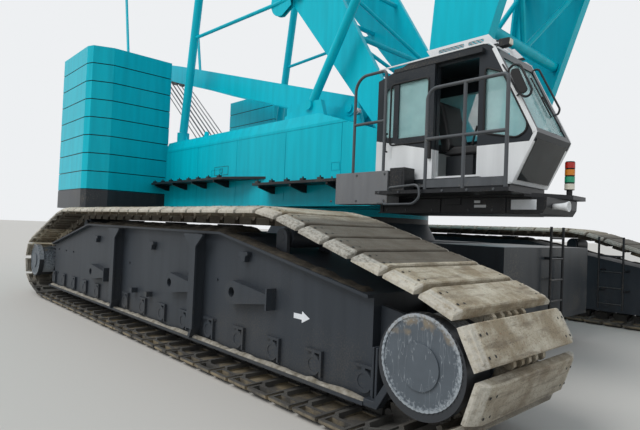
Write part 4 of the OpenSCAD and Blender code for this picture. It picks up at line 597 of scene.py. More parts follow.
def tubeAlong(name, lines, radius, body, finish, sides=10, closed=False):
    # lines: lists of points in the machine's millimetres
    points, edges = [], []
    for line in lines:
        first = len(points)
        points += [at(*p) for p in line]
        edges += [(first + i, first + i + 1) for i in range(len(line) - 1)]
        if closed:
            edges.append((len(points) - 1, first))
    source = bpy.data.meshes.new(name + ".line")
    source.from_pydata(points, edges, [])
    values = {"Radius": radius / 1000, "Sides": sides}
    return grow(name, source, trees["tube"], values, body, finish, True)


def hexBolt(across, high):
    # Bolt head standing up from the origin, with a washer under it
    bm = bmesh.new()
    addPrism(bm, ring(across * 0.62, 12), 0, high * 0.25, onPart)
    addPrism(bm, ring(across * 0.5, 6), high * 0.2, high, onPart)
    return bm


# Track shoes: cast plates with a bevelled outer edge, a rimmed pocket at each end and a link under the middle
shoe = {"gauge": 7700, "width": 1500, "gap": 46, "pitch": 340, "lobes": 8, "out": 110, "height": 1850,
        "topRun": 6400, "base": 10100, "rise": 170, "rollerEnd": 710, "bendGap": 60, "bevelWide": 110,
        "bevelHigh": 45, "uneven": 0.004, "linkHalf": 118, "linkSide": 70, "bar": 112,
        "pocket": (300, 590),
        # Cells across the shoe from its middle: from, to, height of the rims, height of the middle
        "cells": [(0, 70, 80, 196), (70, 150, 80, 150), (150, 256, 80, 196), (256, 300, 80, 80),
                  (300, 590, 80, 58), (590, 622, 80, 80), (622, 712, 80, 16), (712, 750, 80, 80)],
        "studs": (-315, 315), "studX": -94, "studRadius": 26, "studZ": (70, 106),
        "lugs": (-235, -110, 0, 110, 235), "lugRadius": 40, "lugHalf": 22, "lugOut": 8,
        "boreX": (-86, 64), "boreY": (-640, -560, 560, 640), "boreRadius": 11, "boreZ": (-1.2, 1.0)}


def chainPath(s):
    # The loop of the link pins as pieces (length, x, z, heading, radius), as the CAD has it
    pinR = s["lobes"] * s["pitch"] / (2 * math.pi)
    hubX, hubZ = s["base"] / 2, s["rise"] + s["out"] + pinR
    lowZ, highZ = s["out"], s["height"] - s["out"]
    lowX, highX = s["base"] / 2 - s["rollerEnd"] + s["bendGap"], s["topRun"] / 2
    low, high = (lowX - hubX, lowZ - hubZ), (highX - hubX, highZ - hubZ)
    lowTouch = math.atan2(low[1], low[0]) + math.acos(pinR / math.hypot(*low))
    highTouch = math.atan2(high[1], high[0]) - math.acos(pinR / math.hypot(*high))
    a = (hubX + pinR * math.cos(lowTouch), hubZ + pinR * math.sin(lowTouch))
    b = (hubX + pinR * math.cos(highTouch), hubZ + pinR * math.sin(highTouch))
    up = math.atan2(a[1] - lowZ, a[0] - lowX)
    down = math.atan2(highZ - b[1], highX - b[0])
    arc = pinR * (down - up)
    rise, fall = math.hypot(a[0] - lowX, a[1] - lowZ), math.hypot(highX - b[0], highZ - b[1])
    full = 2 * math.pi
    return [(lowX, 0, lowZ, 0, 0), (rise, lowX, lowZ, up, 0), (arc, a[0], a[1], up, pinR),
            (fall, b[0], b[1], down, 0), (2 * highX, highX, highZ, math.pi, 0),
            (fall, -highX, highZ, full - down, 0), (arc, -b[0], b[1], full - down, pinR),
            (rise, -a[0], a[1], full - up, 0), (lowX, -lowX, lowZ, full, 0)]


def onPath(path, s):
    for length, x, z, heading, radius in path:
        if s <= length:
            break
        s -= length
    if not radius:
        return x + s * math.cos(heading), z + s * math.sin(heading)
    end = heading + s / radius
    return x + radius * (math.sin(end) - math.sin(heading)), z - radius * (math.cos(end) - math.cos(heading))


def shoePart(s, half):
    rows = [(-b, -a, rim, mid) for a, b, rim, mid in reversed(s["cells"])] + s["cells"]
    columns = [(-half, -s["linkHalf"]), (-s["linkHalf"], -s["linkSide"]), (-s["linkSide"], s["linkHalf"]),
               (s["linkHalf"], half)]
    bm = bmesh.new()

    def place(u, v, w):
        drop = max(0.0, abs(v) - (s["width"] / 2 - s["bevelWide"])) / s["bevelWide"] * s["bevelHigh"]
        return onPart(u, v, (drop if w == 0 else w) - s["out"])

    def top(i, j):
        v0, v1, rim, mid = rows[j]
        # The rim on one side stands higher between the pocket and the link
        if s["pocket"][0] <= (abs(v0) + abs(v1)) / 2 <= s["pocket"][1] and i == 1:
            return s["bar"]
        return rim if i in (0, 3) else max(mid, rim) if i == 1 and 20 < mid < rim else mid

    heights = {(i, j): top(i, j) for i in range(4) for j in range(len(rows))}
    for (i, j), high in heights.items():
        (u0, u1), (v0, v1) = columns[i], rows[j][:2]
        quads = [[(u0, v0, high), (u1, v0, high), (u1, v1, high), (u0, v1, high)],
                 [(u0, v0, 0), (u0, v1, 0), (u1, v1, 0), (u1, v0, 0)]]
        for di, dj, p, q in ((1, 0, (u1, v0), (u1, v1)), (-1, 0, (u0, v1), (u0, v0)),
                             (0, 1, (u1, v1), (u0, v1)), (0, -1, (u0, v0), (u1, v0))):
            other = heights.get((i + di, j + dj), 0)
            if other < high:
                quads.append([(*p, other), (*q, other), (*q, high), (*p, high)])
        for quad in quads:
            addFaces(bm, [place(*p) for p in quad], [(0, 1, 2, 3)])
    bmesh.ops.remove_doubles(bm, verts=bm.verts, dist=1e-5)
    bmesh.ops.dissolve_limit(bm, angle_limit=0.01, verts=bm.verts, edges=bm.edges)
    edges = [e for e in bm.edges if len(e.link_faces) == 2 and e.calc_face_angle() > 0.5
             and all(abs(v.co.z + s["out"] / 1000) < 0.05 for v in e.verts)]
    bmesh.ops.bevel(bm, geom=edges, offset=0.009, segments=1, affect="EDGES", clamp_overlap=True)
    low, high = (z - s["out"] for z in s["studZ"])
    for v in s["studs"]:
        addPrism(bm, ring(s["studRadius"], 8, s["studX"], v), low, high, onPart)
    for v in s["lugs"]:
        addPrism(bm, ring(s["lugRadius"], 8), v - s["lugHalf"], v + s["lugHalf"],
                 lambda a, b, c: onPart(a - half - s["lugOut"], c, b))
    return bm


def borePart(s):
    bm = bmesh.new()
    low, high = (z - s["out"] for z in s["boreZ"])
    for v in s["boreY"]:
        for u in s["boreX"]:
            addPrism(bm, ring(s["boreRadius"], 7, u, v), low, high, onPart)
    return bm


chain = chainPath(shoe)
chainLength = sum(piece[0] for piece in chain)
linkCount = 2 * round(chainLength / shoe["pitch"] / 2)
linkStep = chainLength / linkCount
for hand, name in ((-1, "right"), (1, "left")):
    places = []
    for i in range(linkCount):
        (x0, z0), (x1, z1) = onPath(chain, i * linkStep), onPath(chain, (i + 1) * linkStep % chainLength)
        middle = at((x0 + x1) / 2, hand * shoe["gauge"] / 2, (z0 + z1) / 2)
        places.append((middle, (0.0, -math.atan2(z1 - z0, x1 - x0), 0.0)))
    placeCopies("shoeBores_" + name, borePart(shoe), places, "undercarriage", "blackRubber", shoe["uneven"])
    track = placeCopies("trackShoes_" + name, shoePart(shoe, (linkStep - shoe["gap"]) / 2), places,
                        "undercarriage", "castShoeSteel", shoe["uneven"])
    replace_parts(track, "track_" + name)
print("track shoes placed:", 2 * linkCount)

# Camera: standing beside the right-hand track's front end
cameraView = {"place": (7150, -7500, 1650), "heading": 137.13, "pitch": 1.47, "roll": 2.31, "lens": 28.46}


def makeCamera(view):
    heading, pitch, roll = (math.radians(view[k]) for k in ("heading", "pitch", "roll"))
    forward = Vector((math.cos(pitch) * math.cos(heading), math.cos(pitch) * math.sin(heading),
                      math.sin(pitch)))
    level = Vector((math.sin(heading), -math.cos(heading), 0))
    raised = level.cross(forward)
    right = level * math.cos(roll) + raised * math.sin(roll)
    up = raised * math.cos(roll) - level * math.sin(roll)
    data = bpy.data.cameras.new("camera")
    data.lens = view["lens"]
    data.clip_end = 500
    camera = addObject("camera", data)
    turn = Matrix((right, up, -forward)).transposed().to_4x4()
    camera.matrix_world = Matrix.Translation(at(*view["place"])) @ turn
    bpy.context.scene.camera = camera


makeCamera(cameraView)

# Overcast sky, a broad soft sun, and a pale floor
stageLook = {"sunTurn": (38, 12, -30), "sunSpread": 35, "sunStrength": 1.5, "skyStrength": 0.75,
             "sky": "#dfe6ee", "backdrop": "#eef0f2", "floor": "#c9c5be", "floorSize": 400}


def makeStage(look):
    sun = bpy.data.lights.new("softSun", "SUN")
    sun.energy = look["sunStrength"]
    sun.angle = math.radians(look["sunSpread"])
    addObject("softSun", sun).rotation_euler = [math.radians(a) for a in look["sunTurn"]]
    world = bpy.data.worlds.new("overcast")
    bpy.context.scene.world = world
    world.use_nodes = True
    tree = world.node_tree
    tree.nodes.clear()
    light = addNode(tree, "ShaderNodeBackground", {"Color": look["sky"], "Strength": look["skyStrength"]})
    shown = addNode(tree, "ShaderNodeBackground", {"Color": look["backdrop"], "Strength": 1.0})
    rays = addNode(tree, "ShaderNodeLightPath").outputs
    seen = rays["Is Camera Ray"]
    for kind in ("Is Glossy Ray", "Is Transmission Ray"):
        seen = addNode(tree, "ShaderNodeMath", {0: seen, 1: rays[kind]}, operation="MAXIMUM")
    both = addNode(tree, "ShaderNodeMixShader", {0: seen, 1: light, 2: shown})
    addNode(tree, "ShaderNodeOutputWorld", {"Surface": both})
    mesh = bpy.data.meshes.new("floor")
    half = look["floorSize"] / 2
    corners = [(x, y, 0) for x, y in rect(-half, -half, half, half)]
    mesh.from_pydata(corners, [], [(0, 1, 2, 3)])
    floor = addObject("floor", mesh)
    material, tree, shader, place = newMaterial("paleFloor")
    setInputs(tree, shader, {"Base Color": look["floor"], "Roughness": 0.9})
    mesh.materials.append(material)
    bpy.context.scene.view_settings.view_transform = "Standard"


makeStage(stageLook)
print("camera and stage ready")

# Track frame: its side faces along y, the mud on its lower ledge and the soil on its upper slopes
frameSide = {"face": 4300, "ledge": 4400, "frontX": 4400, "ledgeZ": 258, "topRear": -2300, "topFront": 2100,
             "topZ": 1564, "endZ": 1124, "endInset": 60, "flatInset": 80}


def heap(bm, line, low, high, seed, lump):
    # A lumpy bank of earth along a line of (x, z), from y low to y high
    rough = random.Random(seed)
    steps, across = 90, 5
    total = sum(math.dist(a, b) for a, b in zip(line, line[1:]))
    rows = []
    for i in range(steps + 1):
        s = total * i / steps
        for a, b in zip(line, line[1:]):
            d = math.dist(a, b)
            if s <= d or b == line[-1]:
                break
            s -= d
        x, z = a[0] + (b[0] - a[0]) * s / d, a[1] + (b[1] - a[1]) * s / d
        crown = 0 if i in (0, steps) else rough.uniform(*lump)
        rows.append([at(x, low + (high - low) * k / across,
                        z + (crown * math.sin(math.pi * k / across) ** 0.6 + rough.uniform(0, 6)
                             if 0 < k < across else -2)) for k in range(across + 1)]
                    + [at(x, high, z - 4), at(x, low, z - 4)])
    n = across + 3
    faces = bands(steps + 1, n, closed=False)
    faces += [tuple(range(n)), tuple(steps * n + k for k in reversed(range(n)))]
    addFaces(bm, [p for row in rows for p in row], faces)


mud, soil = bmesh.new(), bmesh.new()
face, topZ, endZ = frameSide["face"], frameSide["topZ"], frameSide["endZ"]
endX = frameSide["frontX"] - frameSide["endInset"]
rear, front = (frameSide["topRear"], topZ), (frameSide["topFront"], topZ)
flat = [(rear[0] + frameSide["flatInset"], topZ), (front[0] - frameSide["flatInset"], topZ)]
ledge = [(x, frameSide["ledgeZ"]) for x in (-frameSide["frontX"], frameSide["frontX"])]
# Mesh, line, inner and outer edge outwards from the side face, seed, and height of the lumps
banks = [(mud, ledge, 2, frameSide["ledge"] - face - 8, 3, (6, 34)),
         (soil, [(-endX, endZ), rear], -120, 70, 11, (6, 34)),
         (soil, [rear, front, (endX, endZ)], -130, 74, 21, (6, 34)),
         (soil, flat, -640, -160, 31, (60, 74))]
for k in (-1, 1):
    for bank, line, nearer, farther, seed, lump in banks:
        heap(bank, line, k * (face + nearer), k * (face + farther), seed + k, lump)
finishPiece("ledgeMud", mud, "undercarriage", "driedMud", smooth=True)
finishPiece("slopeSoil", soil, "undercarriage", "brownSoil", smooth=True)

# Blank arrow on each side face
arrow = {"tail": 3390, "tip": 3620, "z": 795, "wide": 55, "slim": 25, "thick": 3}
neck = arrow["tip"] - 2 * arrow["wide"]
upper = [(arrow["tail"], arrow["slim"]), (neck, arrow["slim"]), (neck, arrow["wide"])]
outline = [(x, arrow["z"] - z) for x, z in upper] + [(arrow["tip"], arrow["z"])]
outline += [(x, arrow["z"] + z) for x, z in reversed(upper)]
prismPiece("travelArrow", [(outline, k * face, k * (face + arrow["thick"])) for k in (-1, 1)],
           "undercarriage", "signPaint")

# Bolts on the side faces, facing outwards along y
frameBolt = {"across": 30, "high": 16, "x": (-4150, -3700, -3250, -1250, -560, 1280, 1980), "z": (520, 1000)}
bolts = [(at(x, k * (face - 1), z), (math.radians(-90 * k), 0, 0))
         for k in (-1, 1) for x in frameBolt["x"] for z in frameBolt["z"]]
placeCopies("frameBolts", hexBolt(frameBolt["across"], frameBolt["high"]), bolts, "undercarriage",
            "slateEnamel")

# Scalloped rim round each hub's outer face: face along y and radius, at the front and the rear
hubRim = {"x": 5050, "z": 742, "ends": ((1, 4564, 338), (-1, 4534, 310)), "lobes": 52,
          "scallop": (0, 9, 12, 9), "inner": 0.93, "back": -42, "lip": (6, 9), "inset": 14}
rims = bmesh.new()
count = hubRim["lobes"] * len(hubRim["scallop"])
for k in (-1, 1):
    for end, y, radius in hubRim["ends"]:
        outer = [radius - hubRim["scallop"][i % 4] + hubRim["scallop"][1] for i in range(count)]
        inner = [radius * hubRim["inner"]] * count
        points = []
        for reach, depth in ((outer, hubRim["back"]), (outer, hubRim["lip"][0]), (inner, hubRim["lip"][1]),
                             (inner, hubRim["back"])):
            for i, r in enumerate(reach):
                turn = 2 * math.pi * i / count
                points.append(at(end * hubRim["x"] + r * math.cos(turn), k * (y - hubRim["inset"] + depth),
                                 hubRim["z"] + r * math.sin(turn)))
        addFaces(rims, points, bands(4, count))
finishPiece("hubRims", rims, "undercarriage", "turnedHubSteel")
print("track frames dressed")

# Cab: faces of its right side, its door and its left side along y, for the lines of (x, z) below
cab = {"side": -2231, "door": -2291, "inner": -1334}

# Pale trims along the pillars: parts of one edge, each with its width
pillar = {"edge": [(2561, 3869), (4130, 3869), (4215, 3855), (4288, 3790), (4780, 2800), (4790, 2762),
                   (4784, 2728), (4531, 2222)],
          "parts": ((0, 4, 20), (3, 6, 48), (5, 8, 40)), "proud": 9}


def strip(line, wide, y0, y1):
    # Prisms of a flat strip inside a line of (x, z), from y0 to y1
    inner = []
    for i, p in enumerate(line):
        before, after = line[max(i - 1, 0)], line[min(i + 1, len(line) - 1)]
        dx, dz = after[0] - before[0], after[1] - before[1]
        d = math.hypot(dx, dz)
        inner.append((p[0] + dz / d * wide, p[1] - dx / d * wide))
    return [([line[i], line[i + 1], inner[i + 1], inner[i]], y0, y1) for i in range(len(line) - 1)]


trims = []
for y, out in ((cab["side"], -pillar["proud"]), (cab["inner"], pillar["proud"])):
    for first, last, wide in pillar["parts"]:
        trims += strip(pillar["edge"][first:last], wide, y, y + out)
prismPiece("cabPillarTrims", trims, "upper", "paleEnamel", bevel=0.003)

# Rubber round the panes
gasket = {"radius": 13, "sides": 6,
          "door": roundOff(rect(2840, 2780, 3440, 3590), 60),
          "front": roundOff([(4170, 3570), (4380, 3480), (4685, 2870), (4670, 2780), (4570, 2720),
                             (4170, 2810)], 50),
          "left": roundOff([(2760, 2900), (4600, 2900), (4240, 3570), (2760, 3570)], 60)}
for name, body, panes in (("cabWindowRubbers", "upper", {"front": cab["side"] - 1, "left": cab["inner"] + 1}),
                          ("doorWindowRubber", "door", {"door": cab["door"]})):
    lines = [[(x, y, z) for x, z in gasket[pane]] for pane, y in panes.items()]
    tubeAlong(name, lines, gasket["radius"], body, "blackRubber", gasket["sides"], True)

# Door: a pull bar and a grip with its lock
pull = {"line": [(2800, -2292, 2940), (2800, -2330, 2940), (2800, -2330, 2700), (2800, -2292, 2700)],
        "bend": 30, "radius": 13}
tubeAlong("doorHandles", [bend(pull["line"], pull["bend"])], pull["radius"], "door", "blackEnamel")
grip = {"edges": (3462, 2560, 3506, 2770), "round": 14, "outer": -2322}
lock = {"at": (3484, 2796), "radius": 24, "sides": 16, "outer": -2330}
prismPiece("doorGrip", [(roundOff(rect(*grip["edges"]), grip["round"]), cab["door"], grip["outer"]),
                        (ring(lock["radius"], lock["sides"], *lock["at"]), cab["door"], lock["outer"])],
           "door", "blackRubber", bevel=0.004)

# Mirrors: a tube loop and arms on each side, and the right one's shell
mirror = {
    "loops": [[(4490, -2300, 3470), (4545, -2310, 3508), (4620, -2310, 3490), (4760, -2310, 3190),
               (4735, -2310, 3140), (4680, -2305, 3130), (4600, -2290, 3190), (4480, -2300, 3420)],
              [(4290, -1330, 3700), (4330, -1325, 3735), (4380, -1320, 3725), (4650, -1320, 3190),
               (4630, -1325, 3130), (4580, -1330, 3120), (4300, -1335, 3640)]],
    "arms": [[(4380, -2236, 3560), (4500, -2300, 3400)], [(4560, -2236, 3180), (4620, -2295, 3180)],
             [(4300, -1338, 3690), (4345, -1326, 3640)], [(4560, -1338, 3170), (4590, -1328, 3160)]],
    "shell": [(4520, 3455), (4600, 3460), (4715, 3200), (4660, 3160), (4610, 3200), (4520, 3400)],
    "shellY": (-2300, -2322), "round": 30, "bend": 60, "loopRadius": 13, "armRadius": 10, "sides": 8}
loops = [bend(loop, mirror["bend"]) for loop in mirror["loops"]]
tubeAlong("mirrorLoops", loops, mirror["loopRadius"], "upper", "blackEnamel", mirror["sides"], True)
tubeAlong("mirrorArms", mirror["arms"], mirror["armRadius"], "upper", "blackEnamel", mirror["sides"])
prismPiece("mirrorShell", [(roundOff(mirror["shell"], mirror["round"]), *mirror["shellY"])], "upper",
           "blackRubber", bevel=0.005)

# Wiper on the windscreen, just above the glass, which leans from the knee to the roof
wiper = {"pivot": (4756, 2860), "park": (4330, 3700),
         # Part of the way up, place along y, height over the glass
         "arm": ((0.0, -1560, 6), (0.05, -1560, 26), (0.5, -1620, 26)),
         "blade": ((0.2, -1630, 12), (0.8, -1630, 12))}
for name, key, radius in (("wiperArm", "arm", 8), ("wiperBlade", "blade", 9)):
    line = [offLine(wiper["pivot"], wiper["park"], *step) for step in wiper[key]]
    tubeAlong(name, [line], radius, "upper", "blackRubber", 6)

# Work lamp on the roof's edge
lamp = {"case": [(4300, 3788), (4420, 3788), (4432, 3872), (4300, 3880)],
        "foot": [(4250, 3872), (4310, 3860), (4310, 3876), (4250, 3888)],
        "caseY": (-2195, -2105), "footY": (-2165, -2135), "round": 14,
        "glass": (-2185, 3798, -2115, 3862), "glassX": (4418, 4436), "glassRound": 12}
prismPiece("workLamp", [(roundOff(lamp["case"], lamp["round"]), *lamp["caseY"]),
                        (lamp["foot"], *lamp["footY"])], "upper", "blackEnamel", bevel=0.004)
prismPiece("workLampGlass", [(roundOff(rect(*lamp["glass"]), lamp["glassRound"]), *lamp["glassX"],
                              lambda a, b, c: at(c, a, b))], "upper", "clearLens", bevel=0.002)

# Signal column: four lenses over a dark foot
column = {"x": 4950, "y": -1752.5, "foot": 2173, "band": 72, "groove": 6, "radius": 51.5, "inset": 2,
          "lenses": ("clearLens", "greenLens", "amberLens", "redLens")}
for i, finish in enumerate(column["lenses"]):
    low = column["foot"] + i * (column["band"] + column["groove"])
    disc = ring(column["radius"], 28, column["x"], column["y"])
    prismPiece("signal" + finish[0].upper() + finish[1:],
               [(disc, low + column["inset"], low + column["band"] - column["inset"], at)], "upper", finish,
               bevel=0.004)

# Under the cab: nose of the base frame with its straps and skirt
base = {"nose": [(4499, 1892), (4860, 1892), (4900, 1960), (4905, 2068), (4499, 2068)],
        "noseY": (-2218, -1400), "straps": (2700, 3600, 4440), "strapSize": (22, 17, 317),
        "strapY": -2236, "strapZ": 1893, "skirt": ((2662, -2262, 1886), (4860, -2180, 1896))}
wide, thick, high = base["strapSize"]
blocks = [block((x, base["strapY"], base["strapZ"]),
                (x + wide, base["strapY"] + thick, base["strapZ"] + high)) for x in base["straps"]]
blocks.append(block(*base["skirt"]))
prismPiece("cabBaseNose", [(base["nose"], *base["noseY"])] + blocks, "upper", "blackEnamel", bevel=0.003)

# Horn: (x, radius) along its axis
horn = {"y": -2040, "z": 1976, "count": 20,
        "rows": [(4890, 30), (4980, 34), (5030, 44), (5062, 56), (5062, 46), (5020, 30)]}
hornMesh = bmesh.new()
count, last = horn["count"], (len(horn["rows"]) - 1) * horn["count"]
points = [at(x, horn["y"] + a * r, horn["z"] + b * r) for x, r in horn["rows"] for a, b in ring(1.0, count)]
ends = [tuple(range(count)), tuple(last + k for k in range(count))]
addFaces(hornMesh, points, bands(len(horn["rows"]), count, closed=False) + ends)
finishPiece("signalHorn", hornMesh, "upper", "paleEnamel", smooth=True)

# Blank plates as (x0, z0, x1, z1), boxes, and a foot rail round the steps
plates = {"y": (-2222, -2218.5),
          "edges": [(4075, 1958, 4225, 1990), (4075, 2010, 4150, 2040), (4520, 1935, 4800, 2042)]}
prismPiece("blankPlates", [block((x0, plates["y"][0], z0), (x1, plates["y"][1], z1))
                           for x0, z0, x1, z1 in plates["edges"]], "upper", "signPaint")
boxes = [((3066, -2540, 2131), (3300, -2335, 2440)), ((3100, -2546, 2180), (3266, -2539, 2390)),
         ((3700, -2236, 1990), (3900, -2219, 2090))]
prismPiece("platformBox", [block(*ends) for ends in boxes], "upper", "blackEnamel", bevel=0.004)
footRail = {"line": [(3300, -2780, 2110), (3300, -2835, 2160), (3730, -2835, 2185), (3750, -2835, 2040),
                     (3660, -2835, 1965), (3200, -2800, 1965), (3046, -2570, 1992), (2900, -2562, 1996)],
            "bend": 70, "radius": 14}
tubeAlong("footRail", [bend(footRail["line"], footRail["bend"])], footRail["radius"], "upper", "greyEnamel")

# Bolts on the step box, the base frame and the platform: place along y, then x and z
boltRows = [(-2559, (2045, 2520, 3000), (2030, 2370)), (-2219, (2780, 3100, 3500, 4000, 4300), (1930, 2170)),
            (-2799, (3120, 3420, 3720, 4020, 4320, 4620), (2110,))]
bolts = [(at(x, y, z), (math.radians(90), 0, 0)) for y, xs, zs in boltRows for x in xs for z in zs]
placeCopies("cabBolts", hexBolt(26, 12), bolts, "upper", "greyEnamel")

# Seat: two pads blown up as cloth over the shell's places, then smoothed
seat = {"pad": [(3486, 2640), (3994, 2640), (3994, 2728), (3620, 2728)],
        "back": [(3470, 2680), (3575, 2680), (3588, 2750), (3428, 3345), (3335, 3330)],
        "sides": (-2022, -1542), "voxel": 9, "pressure": 4.0, "frames": 20, "cap": 14, "fill": 0.7}


def padPiece(name, outline, body):
    bm = bmesh.new()
    addPrism(bm, outline, *seat["sides"], onSide)
    bmesh.ops.recalc_face_normals(bm, faces=bm.faces)
    mesh = bpy.data.meshes.new(name)
    bm.to_mesh(mesh)
    bm.free()
    holder = addObject(name + ".form", mesh)
    remesh = holder.modifiers.new("remesh", "REMESH")
    remesh.mode = "VOXEL"
    remesh.voxel_size = seat["voxel"] / 1000
    graph = bpy.context.evaluated_depsgraph_get()
    start = bpy.data.meshes.new_from_object(holder.evaluated_get(graph))
    bpy.data.objects.remove(holder)
    result = start
    cloth = addObject(name + ".cloth", start.copy())
    swell = cloth.modifiers.new("swell", "CLOTH")
    swell.settings.use_pressure = True
    swell.settings.uniform_pressure_force = seat["pressure"]
    swell.settings.effector_weights.gravity = 0
    swell.point_cache.frame_start = 1
    swell.point_cache.frame_end = seat["frames"]
    for moment in range(1, seat["frames"] + 1):
        bpy.context.scene.frame_set(moment)
    graph = bpy.context.evaluated_depsgraph_get()
    result = bpy.data.meshes.new_from_object(cloth.evaluated_get(graph))
    cap = seat["cap"] / 1000
    for a, b in zip(start.vertices, result.vertices):
        move = b.co - a.co
        if move.length > cap:
            b.co = a.co + move.normalized() * cap
    bpy.data.objects.remove(cloth)
    bpy.context.scene.frame_set(1)
    piece = finishMesh(name, result, body, "seatVinyl", True)
    subdivide = piece.modifiers.new("smooth", "SUBSURF")
    subdivide.levels = subdivide.render_levels = 1
    return piece


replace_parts(padPiece("seatCushion", seat["pad"], "upper"), "cab_seat")
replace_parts(padPiece("seatBack", seat["back"], "upper"), "cab_seat")

# Two control levers beside the seat
lever = {"line": [(3900, -2010, 2740), (3930, -2010, 2860), (3960, -2010, 2960)], "apart": (0, 460),
         "bend": 40, "radius": 13}
levers = [bend([(x, y + apart, z) for x, y, z in lever["line"]], lever["bend"]) for apart in lever["apart"]]
tubeAlong("controlLevers", levers, lever["radius"], "upper", "blackRubber", 8)

# Lower front pane of smoked glass, over the chin
chin = {"low": (4552, 2268), "high": (4758, 2702), "sides": (-2176, -1389), "lift": 6, "thick": 6,
        "round": 0.08}
pane = roundOff([(0.0, chin["sides"][0]), (1.0, chin["sides"][0]), (1.0, chin["sides"][1]),
                 (0.0, chin["sides"][1])], chin["round"])
prismPiece("lowerScreen", [(pane, chin["lift"], chin["lift"] + chin["thick"],
                            lambda t, y, lift: at(*offLine(chin["low"], chin["high"], t, y, lift)))],
           "upper", "smokedGlass")
print("cab dressed")

# Track frames: lifting hooks high on each side, a bent foot and two upright straps at the front end
hook = {"form": [(-95, 0), (-60, 62), (75, 62), (95, 24), (48, 14), (40, -52), (-22, -52), (-38, 0)],
        "x": (-1930, 260, 2560), "z": 1300, "out": 62,
        "foot": [(4400, 232), (4540, 232), (4690, 470), (4640, 500), (4505, 290), (4400, 290)],
        "straps": (4432, 4470), "strapHalf": 40, "strapWide": 24, "strapZ": (262, 700), "round": 16}
foot, head = hook["strapZ"]
prisms = []
for k in (-1, 1):
    for x in hook["x"]:
        form = roundOff([(x + a, hook["z"] + b) for a, b in hook["form"]], hook["round"])
        prisms.append((form, k * (face - 1), k * (face + hook["out"])))
    prisms.append((hook["foot"], k * (face + 6), k * (frameSide["ledge"] - 8)))
    prisms += [(rect(x, foot, x + hook["strapWide"], head), k * (face - hook["strapHalf"]),
                k * (face + hook["strapHalf"])) for x in hook["straps"]]
prismPiece("frameHooks", prisms, "undercarriage", "slateEnamel", bevel=0.004)

# Walkway clamps along the outer edges: runs of x at a height z
walks = {"runs": [(-4700, -1650, 2595), (-420, 1560, 2425)], "y": 2058, "step": 420,
         "plate": (-45, -32, 45, 32), "plateHigh": 34, "stud": 13, "studHigh": 62}
clamp = bmesh.new()
addPrism(clamp, rect(*walks["plate"]), 0, walks["plateHigh"], onPart)
addPrism(clamp, ring(walks["stud"], 8), walks["plateHigh"], walks["studHigh"], onPart)
clamps = [(at(x, k * walks["y"], z), (0, 0, 0))
          for low, high, z in walks["runs"] for x in range(low, high, walks["step"]) for k in (-1, 1)]
placeCopies("walkwayClamps", clamp, clamps, "upper", "blackEnamel")

# Seams of a hatch on the right house, lifting lugs on the roofs, pins in the lever's brackets
hatch = {"y": -1702, "radius": 5, "edges": ((-2540, 2700, -2000, 2880), (-2320, 2745, -2220, 2835))}
seams = [[(x, hatch["y"], z) for x, z in rect(*edges)] for edges in hatch["edges"]]
tubeAlong("hatchSeams", seams, hatch["radius"], "upper", "blackRubber", 6, True)
lug = {"x": (-3430, 560), "radius": 85, "foot": 3641, "centre": 3730, "y": (1450, 1410)}
prisms = []
for k in (-1, 1):
    for x in lug["x"]:
        arch = [(x - lug["radius"], lug["foot"]), (x + lug["radius"], lug["foot"])]
        arch += [(x + lug["radius"] * math.cos(a), lug["centre"] + lug["radius"] * math.sin(a))
                 for a in (math.pi * i / 10 for i in range(11))]
        prisms.append((arch, k * lug["y"][0], k * lug["y"][1]))
prismPiece("roofLugs", prisms, "upper", "turquoiseEnamel", bevel=0.004)
# Radius, count of sides, and from where to where along y
pin = {"x": 1160, "z": 3690, "steps": ((62, 28, 1122, 1185), (40, 20, 1184, 1200))}
prismPiece("bracketPins", [(ring(radius, count, pin["x"], pin["z"]), k * low, k * high)
                           for k in (-1, 1) for radius, count, low, high in pin["steps"]],
           "upper", "machinedSteel", bevel=0.005)


def wheelPart(bm, rows, count, place):
    # A wheel from its profile (radius, place along the axis), closed on itself
    points = [place(a * r, w, b * r) for r, w in rows for a, b in ring(1.0, count)]
    addFaces(bm, points, bands(len(rows), count))
    return bm


# Reeving from the sheaves on the deck to the sheaves at the lever's tip; the ropes turn with the lever
reeving = {"deck": (-4950, 3380), "tip": (-8640, 6560), "count": 12, "first": -418, "step": 76, "rope": 13,
           "plate": 500, "thick": 30, "foot": 2186, "sheaves": 6, "off": 236, "steps": 24,
           "footHalf": 260, "headHalf": 120, "above": 130, "axle": 55, "axleOut": 40, "offShare": 0.6,
           "splay": 1.02,
           "profile": [(250, -30), (250, -22), (222, -8), (222, 8), (250, 22), (250, 30), (60, 30),
                       (60, -30)]}
(deckX, deckZ), (tipX, tipZ) = reeving["deck"], reeving["tip"]
footHalf, headHalf, top = reeving["footHalf"], reeving["headHalf"], deckZ + reeving["above"]
cheek = [(deckX - footHalf, reeving["foot"]), (deckX + footHalf, reeving["foot"]), (deckX + headHalf, top),
         (deckX - headHalf, top)]
prisms = [(cheek, k * (reeving["plate"] - reeving["thick"]), k * reeving["plate"]) for k in (-1, 1)]
axleEnd = reeving["plate"] + reeving["axleOut"]
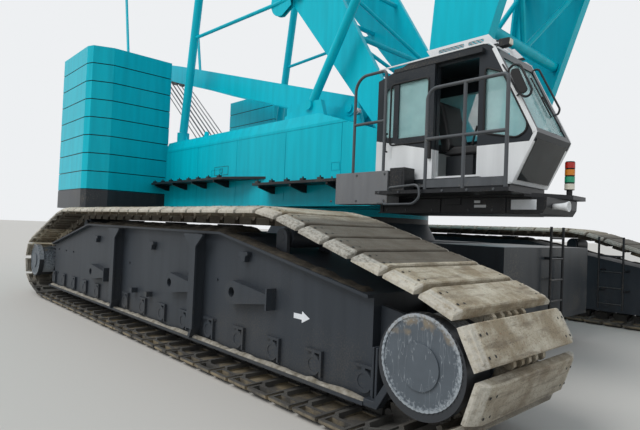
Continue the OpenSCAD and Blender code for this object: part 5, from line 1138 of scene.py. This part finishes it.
prisms.append((ring(reeving["axle"], 20, deckX, deckZ), -axleEnd, axleEnd))
prismPiece("reevingStand", prisms, "upper", "turquoiseEnamel", bevel=0.004)
places = [(at(deckX, reeving["first"] + i * 2 * reeving["step"], deckZ), (0, 0, 0))
          for i in range(reeving["sheaves"])]
placeCopies("reevingSheaves", wheelPart(bmesh.new(), reeving["profile"], 32, onPart), places, "upper",
            "castNylon")
lines = []
for i in range(reeving["count"]):
    y = reeving["first"] + i * reeving["step"]
    off = reeving["off"] * (1 if i % 2 else -1) * reeving["offShare"]
    start, end = (deckX + off, y, deckZ + abs(off)), (tipX + off, y * reeving["splay"], tipZ)
    lines.append([[a + (b - a) * t / reeving["steps"] for a, b in zip(start, end)]
                  for t in range(reeving["steps"] + 1)])
ropes = tubeAlong("reevingRopes", lines, reeving["rope"], None, "wireRope", 6)
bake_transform(ropes, "upper", "lever_arm", start=at(deckX, 0, deckZ), end=at(tipX, 0, tipZ))
print("reeving placed")

# Guide sheave in its cheeks at the rear edge of the mast's plated leg
guide = {"at": (-950, 6250), "cheek": 330, "thick": 14, "y": (-1300, -1204), "arc": (80, 12, 16),
         "tail": ((40, -340), (330, -200), (250, 90)), "axle": 60, "axleOut": 30,
         "profile": [(270, 18), (270, 26), (240, 38), (240, 46), (270, 58), (270, 66), (50, 66), (50, 18)]}
guideX, guideZ = guide["at"]
near, far = guide["y"]
first, step, count = guide["arc"]
form = [(guideX + guide["cheek"] * math.cos(a), guideZ + guide["cheek"] * math.sin(a))
        for a in (math.radians(first + step * i) for i in range(count))]
form += [(guideX + a, guideZ + b) for a, b in guide["tail"]]
prisms = [(form, y, y + guide["thick"]) for y in (near, far - guide["thick"])]
prisms.append((ring(guide["axle"], 20, guideX, guideZ), near - guide["axleOut"], near))
prismPiece("guideCheeks", prisms, "mast", "turquoiseEnamel", bevel=0.003)
roller = wheelPart(bmesh.new(), guide["profile"], 36, lambda a, w, b: at(guideX + a, near + w, guideZ + b))
finishPiece("guideSheave", roller, "mast", "castNylon")
